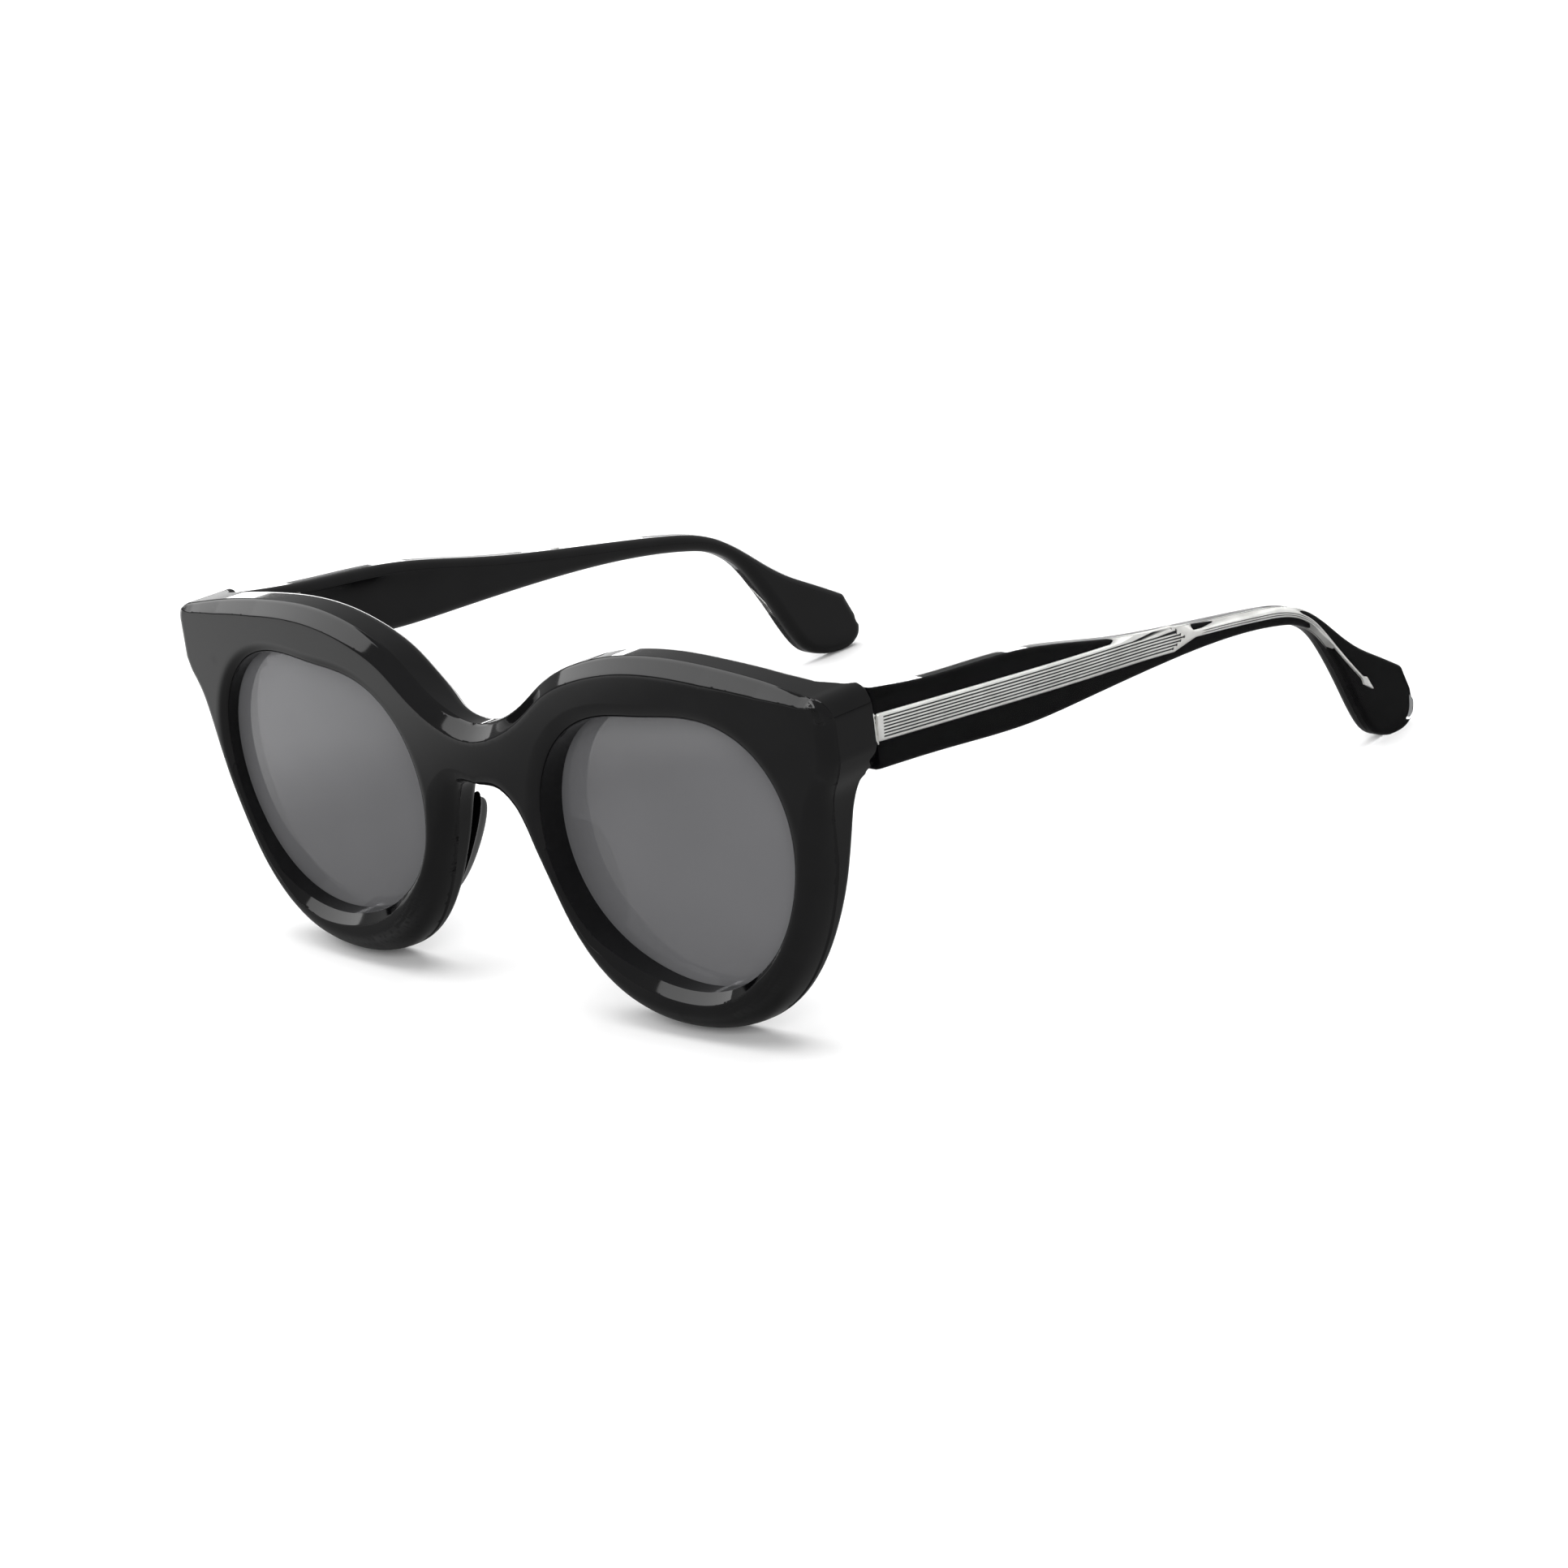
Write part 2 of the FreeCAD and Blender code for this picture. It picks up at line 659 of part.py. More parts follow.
def check_document():
    for obj in doc.Objects:
        if "Invalid" in obj.State or "Error" in obj.State:
            raise RuntimeError("%s failed: %s" % (obj.Name, obj.State))


def write_nodes(nodes):
    os.makedirs("parts", exist_ok=True)
    for node in nodes:
        shape = node.Shape
        if shape.isNull() or not shape.isValid() or len(shape.Solids) != 1:
            raise RuntimeError("bad shape: " + node.Label)
    for node in nodes:
        node.Shape.exportStep(os.path.join("parts", node.Label + ".step"))
        box = node.Shape.optimalBoundingBox()
        print("%-20s volume %8.1f  x %6.2f..%6.2f  y %6.2f..%6.2f  z %6.2f..%6.2f" % (
            node.Label, node.Shape.Volume, box.XMin, box.XMax, box.YMin, box.YMax, box.ZMin, box.ZMax))


nodes = build_front() + build_temples()
doc.recompute()
check_document()
write_nodes(nodes)
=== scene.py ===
"""Cat eye sunglasses: thick black acetate front, grey lenses, laminated temples with an engraved core wire.

Lengths inside the classes are millimetres. The front is shaped in its own leaning frame (x across,
up the face, depth behind the face) and the temples in their side view (y back, z up, depth behind
the outer face). Each piece's place() turns such points into the row frame in metres.
"""

import logging
import math
from dataclasses import dataclass, field
from enum import Enum
from typing import Callable

import bpy
import numpy as np
from mathutils import Matrix, Vector
from mathutils.geometry import delaunay_2d_cdt


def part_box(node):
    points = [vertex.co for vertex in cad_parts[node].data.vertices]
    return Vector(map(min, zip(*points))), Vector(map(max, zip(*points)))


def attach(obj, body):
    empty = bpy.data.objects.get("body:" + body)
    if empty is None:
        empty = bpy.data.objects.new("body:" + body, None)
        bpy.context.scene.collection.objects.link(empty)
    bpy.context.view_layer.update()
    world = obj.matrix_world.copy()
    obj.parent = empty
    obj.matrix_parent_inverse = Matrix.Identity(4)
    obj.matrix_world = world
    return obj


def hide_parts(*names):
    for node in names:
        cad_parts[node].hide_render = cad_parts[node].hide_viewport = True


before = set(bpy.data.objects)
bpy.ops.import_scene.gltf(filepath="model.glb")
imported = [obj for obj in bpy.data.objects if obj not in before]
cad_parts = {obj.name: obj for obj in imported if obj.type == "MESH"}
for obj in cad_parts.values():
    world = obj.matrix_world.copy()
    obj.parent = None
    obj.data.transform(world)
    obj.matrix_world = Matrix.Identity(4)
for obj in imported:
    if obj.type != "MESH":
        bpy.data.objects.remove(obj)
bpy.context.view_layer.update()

LOG = logging.getLogger("sunglasses")
MM = 0.001
NORMAL_STEP = 0.004       # mm, the step that surface slopes are measured over
ENGRAVING_SHADE_MASK = "engraving"   # name of the per-vertex share of engraving depth on the core wires, the mask of painted shade in the grooves
STEEP = 0.3               # a sheet whose normal leans this far over runs into its wall tangentially


class Side(Enum):
    """Which of the wearer's sides a piece is on; the value is the sign of its x."""

    LEFT = 1
    RIGHT = -1

    @property
    def suffix(self) -> str:
        """The ending that the CAD nodes of this side carry."""
        return "left" if self is Side.LEFT else "right"


# ------------------------------------------------------------------ curves and outlines

def smooth_curve(points: list[tuple[float, float]], spacing: float) -> np.ndarray:
    """Draw a natural cubic spline through points and sample it evenly.

    Args:
        points: The knots, in drawing order.
        spacing: Distance between samples in millimetres.

    Returns:
        An (n, 2) array from the first knot to the last.
    """
    knots = np.array(points, float)
    along = np.concatenate([[0.0], np.cumsum(np.hypot(*np.diff(knots, axis=0).T))])
    count = len(knots)
    gap = np.diff(along)
    system = np.zeros((count, count))
    right = np.zeros((count, 2))
    system[0, 0] = system[-1, -1] = 1.0
    for i in range(1, count - 1):
        system[i, i - 1:i + 2] = gap[i - 1], 2 * (gap[i - 1] + gap[i]), gap[i]
        right[i] = 6 * ((knots[i + 1] - knots[i]) / gap[i] - (knots[i] - knots[i - 1]) / gap[i - 1])
    bend = np.linalg.solve(system, right)
    where = np.linspace(0, along[-1], max(3, int(round(along[-1] / spacing)) + 1))
    k = np.clip(np.searchsorted(along, where, side="right") - 1, 0, count - 2)
    ahead = (along[k + 1] - where)[:, None]
    behind = (where - along[k])[:, None]
    g = gap[k][:, None]
    return (bend[k] * ahead ** 3 + bend[k + 1] * behind ** 3) / (6 * g) \
        + (knots[k] / g - bend[k] * g / 6) * ahead + (knots[k + 1] / g - bend[k + 1] * g / 6) * behind


def rolled(distance: np.ndarray, reach: np.ndarray, drop: np.ndarray) -> np.ndarray:
    """Depth lost to a rounded edge, a quarter ellipse.

    Args:
        distance: Distance from the edge.
        reach: How far in from the edge the rounding starts.
        drop: How deep it falls at the edge.

    Returns:
        The depth at each distance, 0 beyond the reach.
    """
    near = np.clip(1 - distance / reach, 0, 1)
    return drop * (1 - np.sqrt(1 - near ** 2))


def bevelled(distance: np.ndarray, reach: np.ndarray, drop: np.ndarray, soft: float = 0.05) -> np.ndarray:
    """Depth lost to a flat facet along an edge, its inner line polished over by the softness.

    Args:
        distance: Distance from the edge.
        reach: Width of the facet.
        drop: Its depth at the edge.
        soft: Share of the width that the inner line is rounded over.

    Returns:
        The depth at each distance.
    """
    near = 1 - distance / reach
    return drop * (near + np.sqrt(near ** 2 + soft ** 2)) / 2


@dataclass
class Outline:
    """A polyline whose vertices carry named values, such as the rounding of the edge there."""

    points: np.ndarray
    values: dict[str, np.ndarray] = field(default_factory=dict)

    def nearest(self, where: np.ndarray) -> tuple[np.ndarray, np.ndarray]:
        """Find the nearest place on the polyline to each point.

        Args:
            where: (n, 2) points.

        Returns:
            The distances, and the places as fractional vertex numbers.
        """
        start = self.points[:-1]
        step = self.points[1:] - start
        length = np.maximum((step ** 2).sum(1), 1e-12)
        distances = []
        stations = []
        for part in np.array_split(where, max(1, len(where) // 1500)):
            offset_x = part[:, None, 0] - start[None, :, 0]
            offset_y = part[:, None, 1] - start[None, :, 1]
            share = np.clip((offset_x * step[:, 0] + offset_y * step[:, 1]) / length, 0, 1)
            gap = (offset_x - share * step[:, 0]) ** 2 + (offset_y - share * step[:, 1]) ** 2
            best = gap.argmin(1)
            rows = np.arange(len(part))
            distances.append(np.sqrt(gap[rows, best]))
            stations.append(best + share[rows, best])
        return np.concatenate(distances), np.concatenate(stations)

    def value(self, name: str, stations: np.ndarray) -> np.ndarray:
        """Read a named value at fractional vertex numbers."""
        return np.interp(stations, np.arange(len(self.points)), self.values[name])

    def normals(self) -> np.ndarray:
        """Left-hand unit normals of the polyline's vertices."""
        along = np.gradient(self.points, axis=0)
        along /= np.hypot(*along.T)[:, None] + 1e-12
        return np.stack([-along[:, 1], along[:, 0]], 1)


def inside_loop(loop: np.ndarray, where: np.ndarray) -> np.ndarray:
    """Which points lie inside a loop, by counting how often it passes above them.

    Args:
        loop: (n, 2) vertices, taken as closed.
        where: Points to test.

    Returns:
        One truth value for each point.
    """
    result = np.zeros(len(where), bool)
    for start, end in zip(loop, np.roll(loop, -1, axis=0)):
        if start[0] == end[0]:
            continue
        crosses = (start[0] > where[:, 0]) != (end[0] > where[:, 0])
        level = start[1] + (end[1] - start[1]) * (where[:, 0] - start[0]) / (end[0] - start[0])
        result ^= crosses & (where[:, 1] < level)
    return result


def inset_rings(outline: Outline, shares: list[float], reach: np.ndarray, least: float) -> np.ndarray:
    """Points set in from an outline on its left, left out where the rings would cross.

    Args:
        outline: The edge.
        shares: Ring distances as shares of the reach.
        reach: The reach at each vertex.
        least: The smallest distance between a ring and the one before it.

    Returns:
        All ring points in one (n, 2) array.
    """
    normals = outline.normals()
    rings = []
    for share in shares:
        distance = np.maximum(share * reach, least)
        ring = outline.points + normals * distance[:, None]
        gap = outline.nearest(ring)[0]
        rings.append(ring[gap > distance * 0.96])
    return np.concatenate(rings)


# ------------------------------------------------------------------ plates

@dataclass
class Plate:
    """A solid between two sheets over one outline: the way a cut and polished acetate piece is made."""

    name: str
    border: np.ndarray                                   # closed loop, anticlockwise
    holes: list[np.ndarray]
    inner: np.ndarray                                    # free points between the loops
    keep: Callable[[np.ndarray], np.ndarray]             # which triangle centres are material
    front: Callable[[np.ndarray], np.ndarray]            # depth of the front sheet
    back: Callable[[np.ndarray], np.ndarray]             # depth of the back sheet
    place: Callable[[np.ndarray], np.ndarray]            # (x, y, depth) in mm to the row frame in m
    round_front: bool = True                             # the front sheet meets its walls tangentially
    round_back: bool = True
    wall_steps: int = 3
    groove: Callable[[np.ndarray], tuple[np.ndarray, np.ndarray]] | None = None
    groove_depth: float = 0.9
    mirror: bool = False                                 # the border's x = 0 side joins a mirror image

    def triangulate(self) -> tuple[np.ndarray, np.ndarray, list[np.ndarray]]:
        """Fill the outline with triangles.

        Returns:
            Points, triangles and one array of point numbers for each loop.
        """
        loops = [self.border] + self.holes
        fixed = np.concatenate(loops)
        crowded = np.round(self.inner / 0.06).astype(int)
        _, first = np.unique(crowded, axis=0, return_index=True)
        inner = self.inner[np.sort(first)]
        edges = []
        start = 0
        for loop in loops:
            numbers = list(range(start, start + len(loop)))
            edges += list(zip(numbers, numbers[1:] + numbers[:1]))
            start += len(loop)
        vectors = [Vector(p) for p in np.concatenate([fixed, inner])]
        verts, _, faces, origins, _, _ = delaunay_2d_cdt(vectors, edges, [], 1, 1e-5)
        points = np.array([tuple(v) for v in verts])
        triangles = np.array(faces)
        triangles = triangles[self.keep(points[triangles].mean(1))]
        found = {}
        for number, sources in enumerate(origins):
            for source in sources:
                found[source] = number
        numbered = []
        start = 0
        for loop in loops:
            numbered.append(np.array([found[start + i] for i in range(len(loop))]))
            start += len(loop)
        return points, triangles, numbered

    def sheet_normals(self, points: np.ndarray, depth: Callable[[np.ndarray], np.ndarray],
                      sign: float) -> np.ndarray:
        """Slopes of a sheet as unit normals.

        Args:
            points: Where on the sheet.
            depth: The sheet's depth function.
            sign: -1 for the front sheet, which faces out of the face, and 1 for the back one.

        Returns:
            (n, 3) normals in (x, y, depth).
        """
        slopes = []
        for axis in range(2):
            step = np.zeros(2)
            step[axis] = NORMAL_STEP
            slopes.append((depth(points + step) - depth(points - step)) / (2 * NORMAL_STEP))
        normals = np.stack([-slopes[0], -slopes[1], np.ones(len(points))], 1) * sign
        return normals / np.linalg.norm(normals, axis=1)[:, None]

    def build(self) -> bpy.types.Object:
        """Make the solid as a mesh with its true normals.

        Returns:
            The new object, linked to the scene.
        """
        points, triangles, loops = self.triangulate()
        area = np.cross(points[triangles[:, 1]] - points[triangles[:, 0]],
                        points[triangles[:, 2]] - points[triangles[:, 0]])
        triangles[area < 0] = triangles[area < 0][:, ::-1]
        count = len(points)
        front_depth = self.front(points)
        back_depth = self.back(points)
        front_normals = self.sheet_normals(points, self.front, -1)
        back_normals = self.sheet_normals(points, self.back, 1)
        wall_normals = {}
        for index, loop in enumerate(loops):
            ring = points[loop]
            along = np.roll(ring, -1, axis=0) - np.roll(ring, 1, axis=0)
            outward = np.stack([along[:, 1], -along[:, 0], np.zeros(len(loop))], 1)
            if index:
                outward = -outward
            outward /= np.linalg.norm(outward, axis=1)[:, None]
            wall_normals[index] = outward
            if self.round_front:
                steep = np.abs(front_normals[loop][:, 2]) < STEEP
                front_normals[loop[steep]] = outward[steep]
            if self.round_back:
                back_normals[loop] = outward
        coordinates = [np.column_stack([points, front_depth]), np.column_stack([points, back_depth])]
        faces = [tuple(t) for t in triangles] + [tuple(t[::-1] + count) for t in triangles]
        corner_normals = [front_normals[triangles].reshape(-1, 3),
                          back_normals[triangles[:, ::-1]].reshape(-1, 3)]
        total = 2 * count
        for index, loop in enumerate(loops):
            levels, offsets = self.wall_levels(points[loop], front_depth[loop], back_depth[loop], index > 0)
            outward = wall_normals[index]
            rows = [loop]
            for level, offset in zip(levels[1:-1], offsets[1:-1]):
                ring = points[loop] - outward[:, :2] * offset * (1 if index else 0)
                coordinates.append(np.column_stack([ring, level]))
                rows.append(np.arange(total, total + len(loop)))
                total += len(loop)
            rows.append(loop + count)
            on_centre = np.abs(points[loop][:, 0]) < 1e-6
            for row, (upper, lower) in enumerate(zip(rows[:-1], rows[1:])):
                lip = offsets[row + 1] - offsets[row]
                for i in range(len(loop)):
                    j = (i + 1) % len(loop)
                    if self.mirror and on_centre[i] and on_centre[j]:
                        continue
                    turn = -1 if index else 1
                    faces.append((upper[i], lower[i], lower[j], upper[j])[::turn])
                    if lip:
                        flat = np.array([0, 0, 1.0 if lip > 0 else -1.0])
                        corner_normals.append(np.tile(flat, (4, 1)))
                    else:
                        corner_normals.append(outward[[i, i, j, j][::turn]])
        solid = np.concatenate(coordinates)
        normals = np.concatenate(corner_normals)
        if self.mirror:
            solid, faces, normals = mirror_solid(solid, faces, normals)
        return make_object(self.name, solid, faces, normals, self.place)

    def wall_levels(self, ring: np.ndarray, top: np.ndarray, bottom: np.ndarray,
                    is_hole: bool) -> tuple[list[np.ndarray], list[float]]:
        """Depths of the rows that make up a wall.

        Args:
            ring: The loop's points.
            top: Depth of the front sheet along the loop.
            bottom: Depth of the back sheet along the loop.
            is_hole: True for the wall of an opening, which may carry the groove.

        Returns:
            Row depths from front to back, and how far each row is let into the wall.
        """
        if is_hole and self.groove is not None:
            lip, heel = self.groove(ring)
            deep = self.groove_depth
            return [top, (top + lip) / 2, lip, lip, heel, heel, bottom], [0, 0, 0, deep, deep, 0, 0]
        shares = np.linspace(0, 1, self.wall_steps + 1)
        return [top + (bottom - top) * share for share in shares], [0.0] * len(shares)


def mirror_solid(solid: np.ndarray, faces: list[tuple[int, ...]],
                 normals: np.ndarray) -> tuple[np.ndarray, list[tuple[int, ...]], np.ndarray]:
    """Join a half solid to its mirror image across x = 0.

    Args:
        solid: Vertices of the half.
        faces: Its faces.
        normals: Its corner normals, in face order.

    Returns:
        Vertices, faces and corner normals of the whole.
    """
    centre = np.abs(solid[:, 0]) < 1e-6
    numbers = np.where(centre, np.arange(len(solid)), -1)
    numbers[~centre] = len(solid) + np.arange((~centre).sum())
    other = solid[~centre] * np.array([-1.0, 1.0, 1.0])
    start = 0
    mirrored_normals = []
    mirrored_faces = []
    for face in faces:
        block = normals[start:start + len(face)]
        for place, vertex in enumerate(face):
            if centre[vertex]:
                block[place, 0] = 0.0
                block[place] /= max(np.linalg.norm(block[place]), 1e-9)
        mirrored_faces.append(tuple(numbers[v] for v in reversed(face)))
        mirrored_normals.append(block[::-1] * np.array([-1.0, 1.0, 1.0]))
        start += len(face)
    return (np.concatenate([solid, other]), faces + mirrored_faces,
            np.concatenate([normals] + mirrored_normals))


def make_object(name: str, solid: np.ndarray, faces: list[tuple[int, ...]], normals: np.ndarray | None,
                place: Callable[[np.ndarray], np.ndarray]) -> bpy.types.Object:
    """Turn arrays into a smooth-shaded object in the row frame.

    Args:
        name: Name of the piece.
        solid: Vertices in the maker's frame, in millimetres.
        faces: Vertex numbers of each face.
        normals: Corner normals in face order, or None to let the faces decide.
        place: Turns the maker's frame into the row frame.

    Returns:
        The new object.
    """
    placed = place(solid)
    mesh = bpy.data.meshes.new(name)
    mesh.from_pydata(placed.tolist(), [], [tuple(int(v) for v in face) for face in faces])
    mesh.update()
    flip = signed_volume(mesh) < 0
    if normals is not None:
        corners = np.concatenate([np.array(face) for face in faces])
        nudged = place(solid[corners] + normals * NORMAL_STEP)
        turned = nudged - placed[corners]
        turned /= np.linalg.norm(turned, axis=1)[:, None] + 1e-15
    if flip:
        mesh.flip_normals()
        if normals is not None:
            order = []
            start = 0
            for face in faces:
                size = len(face)
                order += [start] + list(range(start + size - 1, start, -1))
                start += size
            turned = turned[order]
    mesh.shade_smooth()
    if normals is None:
        mesh.set_sharp_from_angle(angle=math.radians(38))
    else:
        mesh.normals_split_custom_set(turned.tolist())
    piece = bpy.data.objects.new(name, mesh)
    bpy.context.scene.collection.objects.link(piece)
    return piece


def signed_volume(mesh: bpy.types.Mesh) -> float:
    """Volume of a mesh, negative if its faces point inwards."""
    mesh.calc_loop_triangles()
    corners = np.zeros(len(mesh.loop_triangles) * 3, int)
    mesh.loop_triangles.foreach_get("vertices", corners)
    places = np.zeros(len(mesh.vertices) * 3)
    mesh.vertices.foreach_get("co", places)
    a, b, c = places.reshape(-1, 3)[corners.reshape(-1, 3)].transpose(1, 0, 2)
    return float((a * np.cross(b, c)).sum())


def spread(low: tuple[float, float], high: tuple[float, float], pitch: float) -> np.ndarray:
    """A staggered field of points over a rectangle.

    Args:
        low: Lower corner.
        high: Upper corner.
        pitch: Distance between neighbours.

    Returns:
        (n, 2) points.
    """
    rows = np.arange(low[1], high[1], pitch * math.sqrt(0.75))
    field_points = []
    for number, row in enumerate(rows):
        line = np.arange(low[0] + (number % 2) * pitch / 2, high[0], pitch)
        field_points.append(np.column_stack([line, np.full(len(line), row)]))
    return np.concatenate(field_points)


def dress(piece: bpy.types.Object, body: str, slot: str, material: bpy.types.Material, *nodes: str) -> None:
    """Give a new piece its material and its body, and hide the CAD nodes it stands for.

    Args:
        piece: The piece.
        body: The CAD body it rides on.
        slot: Not used.
        material: Its finish.
        nodes: CAD nodes that it replaces.
    """
    piece.data.materials.append(material)
    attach(piece, body)
    if nodes:
        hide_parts(*nodes)
    LOG.info("%s: %d vertices on %s", piece.name, len(piece.data.vertices), body)


# ------------------------------------------------------------------ the front

@dataclass
class FrontFrame:
    """The thick acetate front: brow bevel, rolled rims, two openings and the end blocks."""

    half_width: float = field(default_factory=lambda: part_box("front_frame")[1].x / MM)
    thickness: float = 8.6
    bridge_relief: float = 2.1
    face_radius: float = 665.0
    lean: float = math.radians(3.05)
    face_base_y: float = -75.5
    bridge_top: float = 44.0
    bridge_underside: float = 34.6
    brow_peak: float = 58.5
    rim_bottom: float = 0.55
    side_top: float = 51.9
    block_inner_x: float = 67.6
    block_floor: float = 42.0
    block_corner: float = 2.2
    block_arc: float = 1.5
    block_arc_up: float = 53.6
    relief_reach: float = 8.5
    back_eye_round: float = 0.8
    mitre_depth: float = 13.87
    eye_centre: tuple[float, float] = (37.0, 31.2)
    eye_mean_radius: float = 23.1
    eye_edge: float = 2.3
    eye_edge_drop: float = 1.35
    chamfer_width: float = 1.6
    chamfer_drop: float = 1.5
    chamfer_soft: float = 0.04
    chamfer_half_angle: float = math.radians(54)
    lens_gap: float = 0.05
    lens_overlap: float = 0.9

    def place(self, solid: np.ndarray) -> np.ndarray:
        """Front frame in millimetres to the row frame in metres."""
        x, up, depth = solid.T
        y = self.face_base_y + up * math.sin(self.lean) + depth * math.cos(self.lean)
        z = up * math.cos(self.lean) - depth * math.sin(self.lean)
        return np.column_stack([x, y, z]) * MM

    def face_depth(self, x: np.ndarray) -> np.ndarray:
        """How far the curved face has fallen back at x."""
        return self.face_radius - np.sqrt(self.face_radius ** 2 - x ** 2)

    def eye_radius(self, angle: np.ndarray) -> np.ndarray:
        """Radius of the eye opening about its centre: a circle drawn wide and lifted at the temple."""
        wide = 1.25 * np.cos(angle) + 1.96 * np.cos(2 * angle)
        tall = -2.0 * np.sin(angle) + 0.29 * np.sin(2 * angle)
        corners = 0.64 * np.sin(3 * angle) - 0.23 * np.cos(3 * angle)
        lift = 0.22 * np.sin(4 * angle) - 0.35 * np.cos(4 * angle)
        return self.eye_mean_radius + wide + tall + corners + lift

    def eye_loop(self, growth: float, count: int, chamfer_share: float = 0.0) -> np.ndarray:
        """The opening's edge as an anticlockwise loop.

        Args:
            growth: How far it is let out all round.
            count: Number of points.
            chamfer_share: How much of the chamfer's width it is let out by besides.

        Returns:
            (count, 2) points.
        """
        angle = np.linspace(0, 2 * math.pi, count, endpoint=False)
        radius = self.eye_radius(angle) + growth
        radius = radius + chamfer_share * self.chamfer_width * self.chamfer_share(angle)
        return np.column_stack([self.eye_centre[0] + radius * np.cos(angle),
                                self.eye_centre[1] + radius * np.sin(angle)])

    def eye_distance(self, where: np.ndarray) -> tuple[np.ndarray, np.ndarray]:
        """Distance outside the eye opening's edge, and the angle about its centre."""
        across = where[:, 0] - self.eye_centre[0]
        above = where[:, 1] - self.eye_centre[1]
        angle = np.arctan2(above, across)
        radius = self.eye_radius(angle)
        slope = (self.eye_radius(angle + 0.01) - self.eye_radius(angle - 0.01)) / 0.02
        return (np.hypot(across, above) - radius) / np.hypot(1, slope / radius), angle

    def brow_curve(self) -> np.ndarray:
        """Right half of the top outline, from the bridge dip to the end piece corner."""
        dip = self.bridge_top
        rise = self.brow_peak - dip
        knots = [(0.0, dip), (5.2, dip + 0.075 * rise), (10.8, dip + 0.28 * rise), (16.9, dip + 0.60 * rise),
                 (24.3, dip + 0.83 * rise), (32.7, dip + 0.965 * rise), (41.0, self.brow_peak),
                 (50.0, self.brow_peak - 0.5), (60.0, self.brow_peak - 1.7), (68.6, self.brow_peak - 3.25)]
        mirrored = [(-x, up) for x, up in reversed(knots[1:])]
        return smooth_curve(mirrored + knots, 0.5)

    def rim_curve(self) -> np.ndarray:
        """Right half of the lower outline, from the end piece round the rim to the bridge underside."""
        arch = self.bridge_underside
        knots = [(self.half_width, 46.0), (71.1, 43.6), (69.4, 40.6), (68.3, 37.0), (66.8, 29.5),
                 (62.9, 18.0), (57.0, 8.7), (49.0, 2.75), (39.3, self.rim_bottom), (29.5, 1.7), (21.0, 6.6),
                 (14.2, 16.2),
                 (10.0, 25.8), (7.4, 31.2), (4.4, arch - 0.5), (0.0, arch)]
        mirrored = [(-x, up) for x, up in reversed(knots[:-1])]
        return smooth_curve(knots + mirrored, 0.5)

    def corner_curve(self) -> np.ndarray:
        """The end piece's outer corner, from the brow's end to the top of its side."""
        start = np.array([68.6, self.brow_peak - 3.25])
        end = np.array([self.half_width, self.side_top])
        share = np.linspace(0, 1, 13)[1:-1, None]
        bulge = np.array([self.half_width - 0.34, start[1] - 0.26])
        return start * (1 - share) ** 2 + 2 * bulge * share * (1 - share) + end * share ** 2

    def outline(self) -> Outline:
        """The half front's edge from the bridge underside round to the bridge dip, with its roundings.

        Returns:
            An anticlockwise outline, a little past the centre line at both ends.
        """
        rim = self.rim_curve()[::-1]
        brow = self.brow_curve()[::-1]
        rim = rim[rim[:, 0] > -8]
        brow = brow[brow[:, 0] > -8]
        rim[np.abs(rim[:, 0]) < 0.26] *= np.array([0.0, 1.0])
        brow[np.abs(brow[:, 0]) < 0.26] *= np.array([0.0, 1.0])
        side_top = np.array([self.half_width, self.side_top])
        side = side_top + (rim[-1] - side_top) * np.linspace(1, 0, 14)[1:-1, None]
        points = np.concatenate([rim, side, [side_top], self.corner_curve()[::-1], brow])
        length = np.concatenate([[0], np.cumsum(np.hypot(*np.diff(points, axis=0).T))])
        outline = Outline(points)
